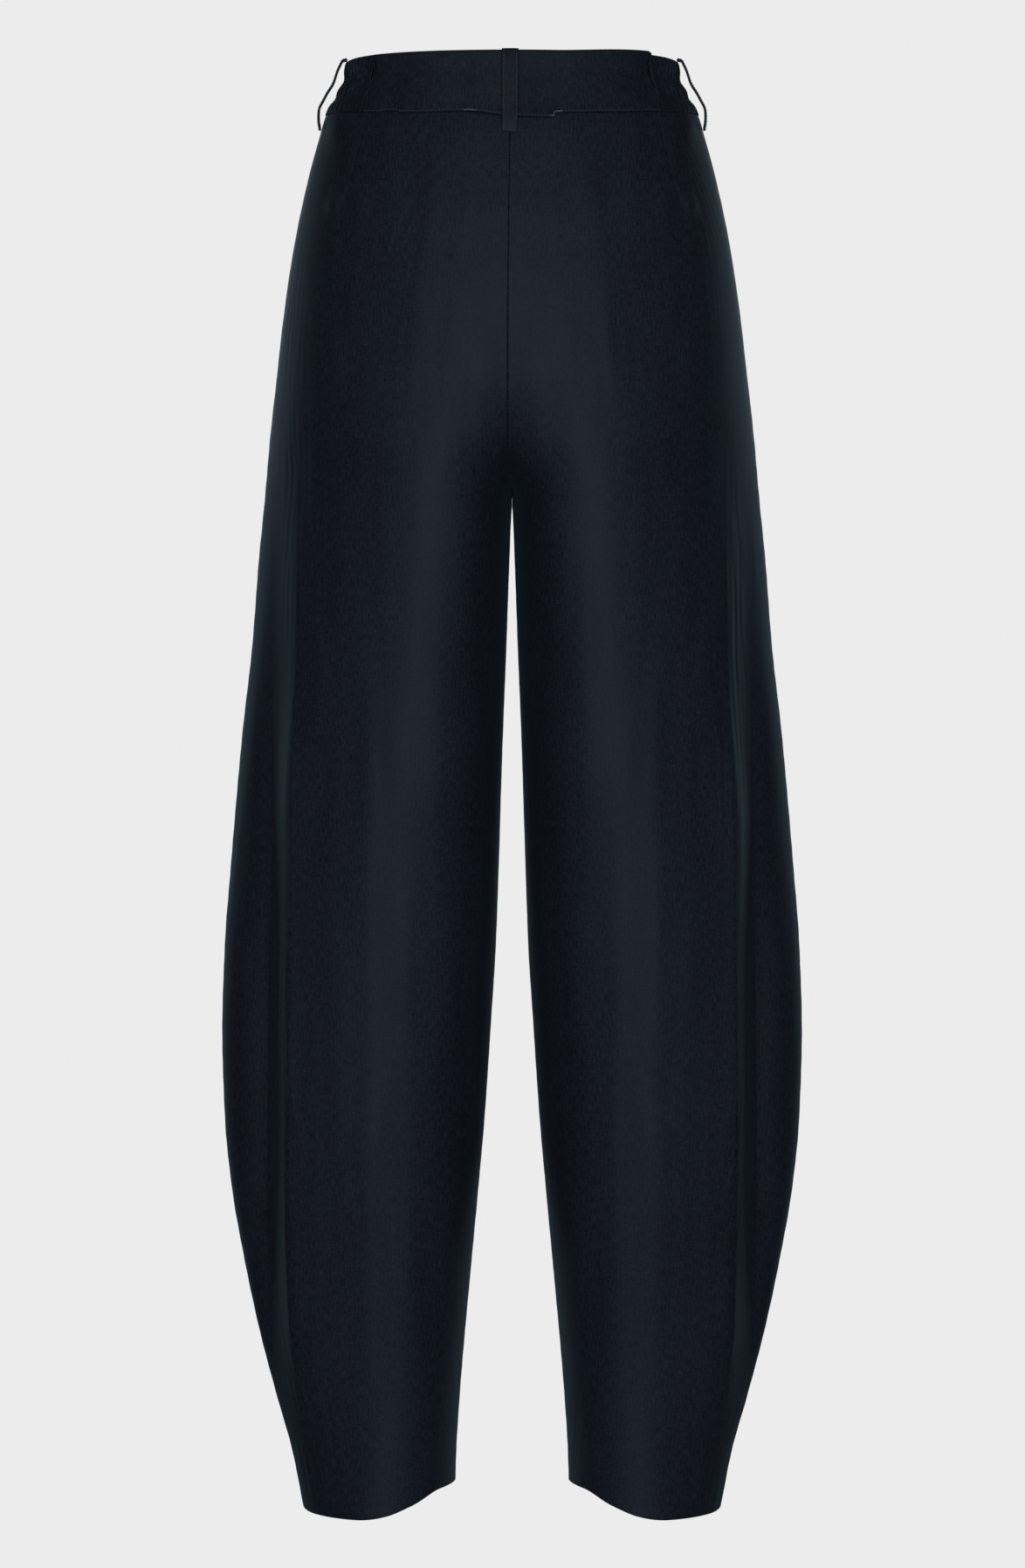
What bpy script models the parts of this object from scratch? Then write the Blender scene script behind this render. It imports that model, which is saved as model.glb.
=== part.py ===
"""Barrel leg trousers with an elasticated waist, filled out as if worn, with nobody in them.

The wearer's right is +X, the front is +Y and up is +Z, in metres. The origin is at the centre of the
waist opening, at the middle height of the waistband. Each piece of cloth is a wall lofted through
sections of the garment, and it stops just short of its neighbour at the seam.
"""

import math
from bisect import bisect_right
from collections import namedtuple

import bmesh
import bpy
from mathutils import Vector

# Driving dimensions
CLOTH = 0.0015
BAND_THICKNESS = 0.0024
ELASTIC_THICKNESS = 0.0034
STRAP_THICKNESS = 0.0016
STRAP_WIDTH = 0.012
FLY_THICKNESS = 0.0010
SEAM_GAP = 0.0003
BAND_PROUD = 0.0005
CROTCH_HEIGHT = -0.302

# The right half, level by level. All are distances in metres from the centre line of the body:
# "outer" is the outline at the side, "inner" the outline at the inside leg, "ridge" where the section
# is deepest, and "front" and "back" how deep it is there. "fullness" is the power of the superellipse
# from the ridge inwards, and "side_fullness" from the ridge out to the side. Above the crotch "inner"
# is less than 0: the two halves would cross, so each is cut off at the centre seam, and that cut is
# the crotch curve.
Section = namedtuple("Section", "height outer inner ridge front back fullness side_fullness")
SECTIONS = [
    Section(0.0200, 0.1175, -0.1175, 0.000, 0.0870, 0.0905, 2.10, 2.10),
    Section(0.0146, 0.1180, -0.1180, 0.000, 0.0880, 0.0920, 2.10, 2.10),
    Section(0.0000, 0.1195, -0.1195, 0.000, 0.0905, 0.0955, 2.10, 2.10),
    Section(-0.0115, 0.1250, -0.1250, 0.000, 0.0935, 0.0990, 2.10, 2.10),
    Section(-0.0246, 0.1327, -0.1327, 0.000, 0.0975, 0.1030, 2.10, 2.10),
    Section(-0.0414, 0.1377, -0.1377, 0.000, 0.1020, 0.1100, 2.12, 2.12),
    Section(-0.0664, 0.1445, -0.1445, 0.000, 0.1060, 0.1180, 2.15, 2.15),
    Section(-0.1162, 0.1551, -0.1551, 0.000, 0.1110, 0.1300, 2.20, 2.20),
    Section(-0.1660, 0.1626, -0.1550, 0.020, 0.1140, 0.1360, 2.20, 2.05),
    Section(-0.2120, 0.1679, -0.1160, 0.040, 0.1160, 0.1370, 2.25, 1.90),
    Section(-0.2420, 0.1714, -0.0620, 0.050, 0.1170, 0.1350, 2.32, 1.75),
    Section(-0.2620, 0.1734, -0.0334, 0.055, 0.1170, 0.1335, 2.42, 1.66),
    Section(-0.2820, 0.1751, -0.0114, 0.059, 0.1170, 0.1315, 2.55, 1.57),
    Section(-0.3020, 0.1769, 0.0000, 0.061, 0.1168, 0.1295, 2.65, 1.55),
    Section(-0.3405, 0.1807, 0.0018, 0.064, 0.1160, 0.1258, 2.65, 1.55),
    Section(-0.4026, 0.1855, 0.0040, 0.069, 0.1140, 0.1190, 2.60, 1.55),
    Section(-0.4651, 0.1925, 0.0065, 0.075, 0.1120, 0.1130, 2.50, 1.55),
    Section(-0.5648, 0.2012, 0.0097, 0.083, 0.1080, 0.1060, 2.24, 1.55),
    Section(-0.6146, 0.2050, 0.0115, 0.086, 0.1050, 0.1020, 2.14, 1.55),
    Section(-0.6770, 0.2069, 0.0154, 0.089, 0.1010, 0.0970, 2.05, 1.55),
    Section(-0.7392, 0.2050, 0.0196, 0.090, 0.0960, 0.0910, 2.00, 1.58),
    Section(-0.7891, 0.2000, 0.0240, 0.090, 0.0910, 0.0850, 1.98, 1.60),
    Section(-0.8390, 0.1913, 0.0287, 0.090, 0.0850, 0.0785, 1.95, 1.63),
    Section(-0.8888, 0.1807, 0.0333, 0.090, 0.0795, 0.0725, 1.95, 1.66),
    Section(-0.9386, 0.1676, 0.0374, 0.090, 0.0745, 0.0670, 1.95, 1.68),
    Section(-0.9760, 0.1570, 0.0397, 0.090, 0.0715, 0.0635, 1.98, 1.70),
    Section(-1.0050, 0.1512, 0.0405, 0.091, 0.0700, 0.0615, 2.00, 1.70),
    Section(-1.0250, 0.1480, 0.0407, 0.091, 0.0695, 0.0605, 2.00, 1.72),
]

# Edges that aren't level: their height, by the angle in degrees round the section of the right half.
# 0 is the side, 90 the back, -90 the front, and 180 and -180 the inside leg.
Edge = namedtuple("Edge", "angle height")
WAIST_SEAM = [
    Edge(-90, -0.0335),
    Edge(-45, -0.0300),
    Edge(0, -0.0246),
    Edge(36, -0.0272),
    Edge(90, -0.0332),
]
BAND_TOP = [
    Edge(-90, 0.0125),
    Edge(-14, 0.0128),
    Edge(0, 0.0130),
    Edge(36, 0.0137),
    Edge(90, 0.0134),
]
HEM = [
    Edge(-180, -0.9978),
    Edge(-143, -0.9965),
    Edge(-90, -1.0000),
    Edge(-60, -1.0055),
    Edge(0, -1.0165),
    Edge(30, -1.0197),
    Edge(67, -1.0210),
    Edge(90, -1.0180),
    Edge(113, -1.0109),
    Edge(143, -1.0004),
    Edge(180, -0.9978),
]
WAIST_LEVEL = -0.029
WAIST_FADE = 0.075
HEM_LEVEL = -1.008
HEM_FADE = 0.130

# The side seam leans towards the back at the waist.
SIDE_SEAM = [Edge(0, -0.120), Edge(4, -0.080), Edge(13, -0.040), Edge(14, 0.020)]

# Each barrel leg has one long upright fold down its back and one down its front: outside the fold
# line the cloth steps in and then runs out to the side as a flatter wing. "share" is how much of the
# section's depth the wing has lost.
Fold = namedtuple("Fold", "height share")
FOLDS = [
    Fold(-0.260, 0.00),
    Fold(-0.320, 0.10),
    Fold(-0.440, 0.19),
    Fold(-0.560, 0.25),
    Fold(-0.690, 0.28),
    Fold(-0.800, 0.27),
    Fold(-0.880, 0.20),
    Fold(-0.940, 0.10),
    Fold(-0.985, 0.00),
]
FOLD_LINE = 0.156
FOLD_STEP = 0.010
WING_START = 0.030
STEP_PART = 0.8

# The gathered elastic lengths of the waistband, at the right side and mirrored at the left
ELASTIC_FRONT = -14
ELASTIC_BACK = 36
GATHERS = 12
POINTS_PER_GATHER = 4
GATHER_HEIGHT = 0.0012
FLAT_STRIP = 5.0
Bulge = namedtuple("Bulge", "share out")
ELASTIC_BULGES = [
    Bulge(0.00, 0.0002),
    Bulge(0.18, 0.0010),
    Bulge(0.34, -0.0008),
    Bulge(0.50, 0.0008),
    Bulge(0.68, -0.0010),
    Bulge(0.84, 0.0004),
    Bulge(1.00, 0.0000),
]

# Belt loops: how far the strap's inner face stands off the section, down its length
Strap = namedtuple("Strap", "height stand_off")
SIDE_LOOP = [
    Strap(0.0140, -0.0004),
    Strap(0.0136, 0.0021),
    Strap(0.0110, 0.0034),
    Strap(0.0060, 0.0052),
    Strap(-0.0020, 0.0066),
    Strap(-0.0101, 0.0073),
    Strap(-0.0184, 0.0067),
    Strap(-0.0246, 0.0045),
    Strap(-0.0297, 0.0026),
    Strap(-0.0330, 0.0011),
    Strap(-0.0352, 0.0003),
]
FLAT_LOOP = [
    Strap(0.0136, 0.0008),
    Strap(0.0118, 0.0014),
    Strap(0.0070, 0.0026),
    Strap(-0.0060, 0.0032),
    Strap(-0.0220, 0.0030),
    Strap(-0.0330, 0.0022),
    Strap(-0.0400, 0.0011),
    Strap(-0.0438, 0.0003),
]
SIDE_LOOP_ANGLE = 3
BACK_LOOP_ANGLE = 90
FRONT_LOOP_ANGLE = -50

# The front opening: the right waistband and the fly lap over the left
TAB_END = -0.018
TAB_RISE_START = 0.024
TAB_RISE_END = 0.008
UNDERLAP_END = 0.001
FLY_LEFT = -0.005
FLY_RIGHT = 0.032
FLY_FOOT = -0.175
FLY_ROUND = 0.040
FLY_TIP = 0.12

# How finely the surfaces are divided. The columns of a panel crowd at the fold, and a narrow one at
# each edge lets the wall end square at its seam.
PANEL_COLUMNS = [0.05, 0.10, 0.15, 0.19, 0.215, 0.24, 0.265, 0.29, 0.33, 0.39, 0.46, 0.53, 0.60]
PANEL_COLUMNS += [0.67, 0.74, 0.81, 0.88, 0.94]
SEAM_COLUMN = 0.004
HIP_ROWS = 7
CROTCH_ROWS = 6
LEG_ROWS = 13
CROTCH_ZONE = 0.062
BAND_ROWS = 6
BACK_BAND_COLUMNS = 18
FRONT_BAND_COLUMNS = 8
TAB_RISE_COLUMNS = 4
TAB_END_COLUMNS = 3
LAP_COLUMNS = 5
LAP_TURNS = 6
CROWDING_START = 90
CROWDING_END = 130
CROWDING = 2

NAVY = (0.0102, 0.0133, 0.0222, 1.0)
CLOTH_ROUGHNESS = 0.75


def curve_through(xs, ys, x):
    """A smooth curve through a table's points that doesn't overshoot them and is level at both ends."""
    x = min(max(x, xs[0]), xs[-1])
    i = min(max(bisect_right(xs, x) - 1, 0), len(xs) - 2)

    def slope(k):
        if k == 0 or k == len(xs) - 1:
            return 0.0
        before = (ys[k] - ys[k - 1]) / (xs[k] - xs[k - 1])
        after = (ys[k + 1] - ys[k]) / (xs[k + 1] - xs[k])
        return 0.0 if before * after <= 0 else 2 * before * after / (before + after)

    span = xs[i + 1] - xs[i]
    t = (x - xs[i]) / span
    return (
        (2 * t**3 - 3 * t**2 + 1) * ys[i]
        + (t**3 - 2 * t**2 + t) * span * slope(i)
        + (3 * t**2 - 2 * t**3) * ys[i + 1]
        + (t**3 - t**2) * span * slope(i + 1)
    )


def look_up(table, known, wanted, value):
    """One named column of a table, read at a value of another column."""
    rows = sorted(table, key=lambda row: getattr(row, known))
    return curve_through([getattr(r, known) for r in rows], [getattr(r, wanted) for r in rows], value)


SIZES_AT = {}


def sizes(height):
    """The section's sizes at a height."""
    key = round(height, 6)
    if key not in SIZES_AT:
        fields = (look_up(SECTIONS, "height", field, height) for field in Section._fields[1:])
        SIZES_AT[key] = Section(height, *fields)
    return SIZES_AT[key]


def ease(value, start, end):
    """0 at the start, 1 at the end, smooth between."""
    t = min(max((value - start) / (end - start), 0.0), 1.0)
    return t * t * (3 - 2 * t)


def power(value, exponent):
    return math.copysign(abs(value) ** exponent, value)


def fold(x, height):
    """How much of the section's depth the long fold leaves at x."""
    step = ease(x, FOLD_LINE, FOLD_LINE + FOLD_STEP)
    wing = ease(x, FOLD_LINE, FOLD_LINE + WING_START)
    share = look_up(FOLDS, "height", "share", height)
    return 1 - share * (STEP_PART * step + (1 - STEP_PART) * wing)


def section_point(angle, height):
    """A point of the cloth's outer face on the right half, at an angle round the section."""
    s = sizes(height)
    cos, sin = math.cos(math.radians(angle)), math.sin(math.radians(angle))
    reach, fullness = (s.outer - s.ridge, s.side_fullness) if cos >= 0 else (s.ridge - s.inner, s.fullness)
    depth = s.back if sin >= 0 else s.front
    x = s.ridge + reach * power(cos, 2 / fullness)
    y = -depth * power(sin, 2 / fullness) * fold(x, height)
    return Vector((x, y, height))


def round_section(angle, height):
    """The level step along the section for one degree of angle."""
    return (section_point(angle + 1, height) - section_point(angle - 1, height)) / 2


def outward(angle, height):
    """The level direction straight out of the cloth."""
    along = round_section(angle, height)
    return Vector((-along.y, along.x, 0)).normalized()


def from_side(angle):
    """The angle from the right side, for an angle that has gone past the centre back or front."""
    if abs(angle) <= 90:
        return angle
    return math.copysign(180 - abs(angle), angle)


def cloth_point(angle, level):
    """A point of a leg panel. Near the waist and the hem its rows bend to follow those edges."""
    near_waist = 1 - ease(WAIST_LEVEL - level, 0, WAIST_FADE)
    near_hem = 1 - ease(level - HEM_LEVEL, 0, HEM_FADE)
    seam = look_up(WAIST_SEAM, "angle", "height", from_side(angle))
    hem = look_up(HEM, "angle", "height", angle)
    height = level + near_waist * (seam - WAIST_LEVEL) + near_hem * (hem - HEM_LEVEL)
    return section_point(angle, height)


def side_edge(level, towards):
    """The angle of a panel's edge at the side seam: half the gap to the back (1) or front (-1)."""
    angle = look_up(SIDE_SEAM, "height", "angle", level)
    return angle + towards * SEAM_GAP / 2 / round_section(angle, level).length


def inner_edge(level, towards):
    """The angle of a panel's edge at the centre seam, or below the crotch at the inside leg seam."""
    s = sizes(level)
    depth = s.back if towards > 0 else s.front
    inseam = 180 - math.degrees(math.asin((SEAM_GAP / 2 / depth) ** (s.fullness / 2)))
    share = (SEAM_GAP / 2 - s.ridge) / (s.ridge - s.inner)
    centre = math.degrees(math.acos(power(share, s.fullness / 2))) if share > -1 else inseam
    return towards * min(centre, inseam)


def spread(first, last, count):
    return [first + (last - first) * i / count for i in range(count + 1)]


def panel_levels():
    """The rows down a leg panel. They close up towards the crotch."""
    crotch_top = CROTCH_HEIGHT + CROTCH_ZONE
    hip = spread(WAIST_LEVEL, crotch_top, HIP_ROWS)
    crotch = [CROTCH_HEIGHT + CROTCH_ZONE * (1 - t) ** 2 for t in spread(0.0, 1.0, CROTCH_ROWS)]
    leg = spread(CROTCH_HEIGHT, HEM_LEVEL, LEG_ROWS)
    narrow = CLOTH
    return [hip[0], hip[0] - narrow, *hip[1:-1], *crotch[:-1], *leg[:-1], leg[-1] + narrow, leg[-1]]


def fabric(name):
    material = bpy.data.materials.new(name)
    material.use_nodes = True
    shader = material.node_tree.nodes["Principled BSDF"]
    shader.inputs["Base Color"].default_value = NAVY
    shader.inputs["Roughness"].default_value = CLOTH_ROUGHNESS
    shader.inputs["Metallic"].default_value = 0.0
    return material


def add_grid(bm, rows):
    """The faces of an open surface through rows of points, and its vertices row by row."""
    grid = [[bm.verts.new(point) for point in row] for row in rows]
    for above, below in zip(grid, grid[1:]):
        for i in range(len(above) - 1):
            bm.faces.new((above[i], above[i + 1], below[i + 1], below[i]))
    return grid


def add_piece(name, bm, collection):
    mesh = bpy.data.meshes.new(name)
    bm.to_mesh(mesh)
    bm.free()
    mesh.shade_smooth()
    mesh.materials.append(fabric(name + "_cloth"))
    piece = bpy.data.objects.new(name, mesh)
    collection.objects.link(piece)
    return piece


def middle_of_cloth(point):
    """The middle of the body, or below the crotch of the nearer leg, at a point's height."""
    s = sizes(point.z)
    x = 0.0 if s.inner < 0 else math.copysign((s.outer + s.inner) / 2, point.x)
    return Vector((x, 0, point.z))


def sheet(name, rows, thickness, offset, collection):
    """An open surface thickened with Solidify, inwards for an offset of -1 and outwards for 1."""
    bm = bmesh.new()
    grid = add_grid(bm, rows)
    bm.normal_update()
    sample = grid[len(grid) // 2][len(grid[0]) // 2]
    if sample.normal.dot(sample.co - middle_of_cloth(sample.co)) < 0:
        bmesh.ops.reverse_faces(bm, faces=bm.faces)
    piece = add_piece(name, bm, collection)
    wall = piece.modifiers.new("wall", "SOLIDIFY")
    wall.thickness = thickness
    wall.offset = offset
    wall.use_even_offset = True
    wall.use_quality_normals = True
    return piece


def wall_between(name, outer_rows, inner_rows, collection):
    """A closed wall lofted between two unlike faces, such as gathers over a plain inside."""
    bm = bmesh.new()
    outer, inner = add_grid(bm, outer_rows), add_grid(bm, inner_rows)

    def rim(grid):
        left = [row[0] for row in reversed(grid[1:-1])]
        right = [row[-1] for row in grid[1:-1]]
        return [*grid[0], *right, *reversed(grid[-1]), *left]

    outer_rim, inner_rim = rim(outer), rim(inner)
    for i in range(len(outer_rim)):
        bm.faces.new((outer_rim[i - 1], outer_rim[i], inner_rim[i], inner_rim[i - 1]))
    bmesh.ops.recalc_face_normals(bm, faces=bm.faces)
    return add_piece(name, bm, collection)


def mirrored(rows):
    return [[Vector((-p.x, p.y, p.z)) for p in row] for row in rows]


def column_angle(first, last, t):
    """A panel column's angle. At the crotch the columns near the inner edge take up its turn."""
    crowding = 1 + CROWDING * ease(abs(last), CROWDING_START, CROWDING_END)
    full_turn = math.copysign(180, last)
    return first + (full_turn - first) * t + (last - full_turn) * t**crowding


def panel_rows(towards):
    """A right leg panel from the side seam to its inner edge: the back for 1, the front for -1."""
    rows = []
    columns = [0.0, SEAM_COLUMN, *PANEL_COLUMNS, 1 - SEAM_COLUMN, 1.0]
    for level in panel_levels():
        first, last = side_edge(level, towards), inner_edge(level, towards)
        rows.append([cloth_point(column_angle(first, last, t), level) for t in columns])
    return rows


def band_point(angle, share, stand_off):
    """A point of the waistband: share is 0 at the waist seam and 1 at the top edge."""
    low = look_up(WAIST_SEAM, "angle", "height", from_side(angle)) + SEAM_GAP
    high = look_up(BAND_TOP, "angle", "height", from_side(angle))
    height = low + (high - low) * share
    return section_point(angle, height) + outward(angle, height) * (BAND_PROUD + stand_off)


def band_rows(angles, row_count, stand_off):
    shares = spread(1.0, 0.0, row_count)
    return [[band_point(angle, share, stand_off(angle, share)) for angle in angles] for share in shares]


def angle_at(x, towards):
    """The angle at which the waistband is x from the centre, at the back (1) or the front (-1)."""
    s = sizes(0.0)
    return towards * math.degrees(math.acos(power(x / s.outer, s.side_fullness / 2)))


def end_angle(angle, inwards):
    """An end of a length of waistband, half the seam gap short of the seam."""
    return angle + inwards * SEAM_GAP / 2 / round_section(angle, 0.0).length


def gathered(angle, share):
    """How far the gathered elastic stands in or out. A strip at each of its ends lies flat."""
    turn = (angle - ELASTIC_FRONT) / (ELASTIC_BACK - ELASTIC_FRONT)
    wave = -math.cos(2 * math.pi * GATHERS * turn)
    from_end = min(angle - ELASTIC_FRONT, ELASTIC_BACK - angle)
    gather = ease(from_end, FLAT_STRIP / 2, FLAT_STRIP)
    return gather * (look_up(ELASTIC_BULGES, "share", "out", share) + GATHER_HEIGHT * wave)


def tab_rise(angle, _share):
    """The right waistband rises off the body to lap over the left one."""
    x = section_point(angle, 0.0).x
    return (BAND_THICKNESS + SEAM_GAP) * ease(x, TAB_RISE_START, TAB_RISE_END)


def flat(_angle, _share):
    return 0.0


def band(name, angles, row_count, thickness, stand_off, collection, mirror=False):
    """A length of waistband with a plain inside."""
    outer = band_rows(angles, row_count, stand_off)
    lap = tab_rise if stand_off is tab_rise else flat
    inner = band_rows(angles, row_count, lambda angle, share: lap(angle, share) - thickness)
    if mirror:
        outer, inner = mirrored(outer), mirrored(inner)
    return wall_between(name, outer, inner, collection)


def waistband(collection):
    back_end = end_angle(ELASTIC_BACK, 1)
    flat_back = spread(back_end, 180 - back_end, BACK_BAND_COLUMNS)
    band("waistband_back", flat_back, BAND_ROWS, BAND_THICKNESS, flat, collection)

    elastic_ends = end_angle(ELASTIC_FRONT, 1), end_angle(ELASTIC_BACK, -1)
    elastic = spread(*elastic_ends, GATHERS * POINTS_PER_GATHER)
    for side in ("right", "left"):
        name = "waistband_elastic_" + side
        band(name, elastic, BAND_ROWS, ELASTIC_THICKNESS, gathered, collection, side == "left")

    front_end = end_angle(ELASTIC_FRONT, -1)
    rise_start, rise_end = angle_at(TAB_RISE_START, -1), angle_at(TAB_RISE_END, -1)
    over = spread(front_end, rise_start, FRONT_BAND_COLUMNS)[:-1]
    over += spread(rise_start, rise_end, TAB_RISE_COLUMNS)[:-1]
    over += spread(rise_end, angle_at(TAB_END, -1), TAB_END_COLUMNS)
    band("waistband_front_right", over, BAND_ROWS, BAND_THICKNESS, tab_rise, collection)
    under = spread(front_end, angle_at(-UNDERLAP_END, -1), FRONT_BAND_COLUMNS)
    band("waistband_front_left", under, BAND_ROWS, BAND_THICKNESS, flat, collection, True)


def belt_loop(name, angle, table, collection, mirror=False):
    """A strap that stands off the waistband and is seated at both ends."""
    rows = []
    for strap in table:
        out = outward(angle, strap.height)
        across = Vector((-out.y, out.x, 0))
        seat = section_point(angle, strap.height) + out * strap.stand_off
        rows.append([seat + across * x for x in spread(-STRAP_WIDTH / 2, STRAP_WIDTH / 2, 2)])
    sheet(name, mirrored(rows) if mirror else rows, STRAP_THICKNESS, 1, collection)


def fly_lap(collection):
    """The lap over the front opening: straight at its left edge, rounded at the foot of its right."""
    straight = [(level, 1.0) for level in panel_levels() if level > FLY_FOOT + FLY_ROUND]
    turns = [math.radians(turn) for turn in spread(0, 90, LAP_TURNS)]
    rounded = [(FLY_FOOT + FLY_ROUND * (1 - math.sin(turn)), math.cos(turn)) for turn in turns]
    rows = []
    for level, width in straight + rounded:
        s = sizes(level)
        right = FLY_LEFT + (FLY_RIGHT - FLY_LEFT) * max(width, FLY_TIP)
        row = []
        for x in spread(FLY_LEFT, right, LAP_COLUMNS):
            turn = (abs(x) - s.ridge) / (s.ridge - s.inner)
            angle = -math.degrees(math.acos(power(turn, s.fullness / 2)))
            if abs(x) > s.ridge:
                turn = (abs(x) - s.ridge) / (s.outer - s.ridge)
                angle = -math.degrees(math.acos(power(turn, s.side_fullness / 2)))
            point = cloth_point(angle, level)
            point += outward(angle, point.z) * (SEAM_GAP + FLY_THICKNESS)
            row.append(Vector((math.copysign(point.x, x), point.y, point.z)))
        rows.append(row)
    sheet("fly_lap", rows, FLY_THICKNESS, -1, collection)


def build():
    for old in list(bpy.data.objects):
        bpy.data.objects.remove(old, do_unlink=True)
    trousers = bpy.data.collections.new("barrel_leg_trousers")
    bpy.context.scene.collection.children.link(trousers)

    for part, towards in (("back", 1), ("front", -1)):
        rows = panel_rows(towards)
        sheet(part + "_right", rows, CLOTH, -1, trousers)
        sheet(part + "_left", mirrored(rows), CLOTH, -1, trousers)

    waistband(trousers)
    fly_lap(trousers)
    belt_loop("belt_loop_back", BACK_LOOP_ANGLE, FLAT_LOOP, trousers)
    for side in ("right", "left"):
        belt_loop("belt_loop_side_" + side, SIDE_LOOP_ANGLE, SIDE_LOOP, trousers, side == "left")
        belt_loop("belt_loop_front_" + side, FRONT_LOOP_ANGLE, FLAT_LOOP, trousers, side == "left")


build()
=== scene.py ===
"""Looks for the barrel leg trousers: sewn cloth panels, a gathered waistband, belt loops and stitching.

The wearer's right is +X, the front is +Y and up is +Z, in metres, as in the frame.
"""

from collections import namedtuple

import bpy
import numpy as np
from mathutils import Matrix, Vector


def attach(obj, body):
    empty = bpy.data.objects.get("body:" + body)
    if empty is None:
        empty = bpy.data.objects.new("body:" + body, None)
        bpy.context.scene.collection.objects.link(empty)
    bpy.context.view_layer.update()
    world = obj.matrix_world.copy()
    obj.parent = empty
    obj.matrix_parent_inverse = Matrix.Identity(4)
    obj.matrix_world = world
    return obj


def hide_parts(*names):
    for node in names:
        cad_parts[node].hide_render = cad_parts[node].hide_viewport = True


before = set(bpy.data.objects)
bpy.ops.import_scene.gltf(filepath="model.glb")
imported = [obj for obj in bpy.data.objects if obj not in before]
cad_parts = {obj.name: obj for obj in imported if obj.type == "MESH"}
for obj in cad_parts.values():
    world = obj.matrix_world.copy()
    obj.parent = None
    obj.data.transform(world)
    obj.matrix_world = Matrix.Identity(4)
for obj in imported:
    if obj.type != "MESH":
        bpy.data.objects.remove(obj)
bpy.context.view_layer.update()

# The garment's sections, edges and folds, as in the solids
Section = namedtuple("Section", "height outer inner ridge front back fullness side_fullness")
SECTIONS = [
    Section(0.0200, 0.1175, -0.1175, 0.000, 0.0870, 0.0905, 2.10, 2.10),
    Section(0.0146, 0.1180, -0.1180, 0.000, 0.0880, 0.0920, 2.10, 2.10),
    Section(0.0000, 0.1195, -0.1195, 0.000, 0.0905, 0.0955, 2.10, 2.10),
    Section(-0.0115, 0.1250, -0.1250, 0.000, 0.0935, 0.0990, 2.10, 2.10),
    Section(-0.0246, 0.1327, -0.1327, 0.000, 0.0975, 0.1030, 2.10, 2.10),
    Section(-0.0414, 0.1377, -0.1377, 0.000, 0.1020, 0.1100, 2.12, 2.12),
    Section(-0.0664, 0.1445, -0.1445, 0.000, 0.1060, 0.1180, 2.15, 2.15),
    Section(-0.1162, 0.1551, -0.1551, 0.000, 0.1110, 0.1300, 2.20, 2.20),
    Section(-0.1660, 0.1626, -0.1550, 0.020, 0.1140, 0.1360, 2.20, 2.05),
    Section(-0.2120, 0.1679, -0.1160, 0.040, 0.1160, 0.1370, 2.25, 1.90),
    Section(-0.2420, 0.1714, -0.0620, 0.050, 0.1170, 0.1350, 2.32, 1.75),
    Section(-0.2620, 0.1734, -0.0334, 0.055, 0.1170, 0.1335, 2.42, 1.66),
    Section(-0.2820, 0.1751, -0.0114, 0.059, 0.1170, 0.1315, 2.55, 1.57),
    Section(-0.3020, 0.1769, 0.0000, 0.061, 0.1168, 0.1295, 2.65, 1.55),
    Section(-0.3405, 0.1807, 0.0018, 0.064, 0.1160, 0.1258, 2.65, 1.55),
    Section(-0.4026, 0.1855, 0.0040, 0.069, 0.1140, 0.1190, 2.60, 1.55),
    Section(-0.4651, 0.1925, 0.0065, 0.075, 0.1120, 0.1130, 2.50, 1.55),
    Section(-0.5648, 0.2012, 0.0097, 0.083, 0.1080, 0.1060, 2.24, 1.55),
    Section(-0.6146, 0.2050, 0.0115, 0.086, 0.1050, 0.1020, 2.14, 1.55),
    Section(-0.6770, 0.2069, 0.0154, 0.089, 0.1010, 0.0970, 2.05, 1.55),
    Section(-0.7392, 0.2050, 0.0196, 0.090, 0.0960, 0.0910, 2.00, 1.58),
    Section(-0.7891, 0.2000, 0.0240, 0.090, 0.0910, 0.0850, 1.98, 1.60),
    Section(-0.8390, 0.1913, 0.0287, 0.090, 0.0850, 0.0785, 1.95, 1.63),
    Section(-0.8888, 0.1807, 0.0333, 0.090, 0.0795, 0.0725, 1.95, 1.66),
    Section(-0.9386, 0.1676, 0.0374, 0.090, 0.0745, 0.0670, 1.95, 1.68),
    Section(-0.9760, 0.1570, 0.0397, 0.090, 0.0715, 0.0635, 1.98, 1.70),
    Section(-1.0050, 0.1512, 0.0405, 0.091, 0.0700, 0.0615, 2.00, 1.70),
    Section(-1.0250, 0.1480, 0.0407, 0.091, 0.0695, 0.0605, 2.00, 1.72),
]
Edge = namedtuple("Edge", "angle height")
WAIST_SEAM = [
    Edge(-90, -0.0335), Edge(-45, -0.0300), Edge(0, -0.0246), Edge(36, -0.0272), Edge(90, -0.0332),
]
BAND_TOP = [
    Edge(-90, 0.0125), Edge(-14, 0.0128), Edge(0, 0.0130), Edge(36, 0.0137), Edge(90, 0.0134),
]
HEM = [
    Edge(-180, -0.9978), Edge(-143, -0.9965), Edge(-90, -1.0000), Edge(-60, -1.0055),
    Edge(0, -1.0165), Edge(30, -1.0197), Edge(67, -1.0210), Edge(90, -1.0185),
    Edge(113, -1.0113), Edge(143, -1.0004), Edge(180, -0.9978),
]
SIDE_SEAM = [Edge(0, -0.120), Edge(4, -0.080), Edge(13, -0.040), Edge(14, 0.020)]
WAIST_LEVEL, WAIST_FADE = -0.029, 0.075
HEM_LEVEL, HEM_FADE = -1.008, 0.130
CROTCH_HEIGHT = -0.302
CROTCH_ZONE = 0.062
BAND_PROUD = 0.0005
SEAM_GAP = 0.00006

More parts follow.
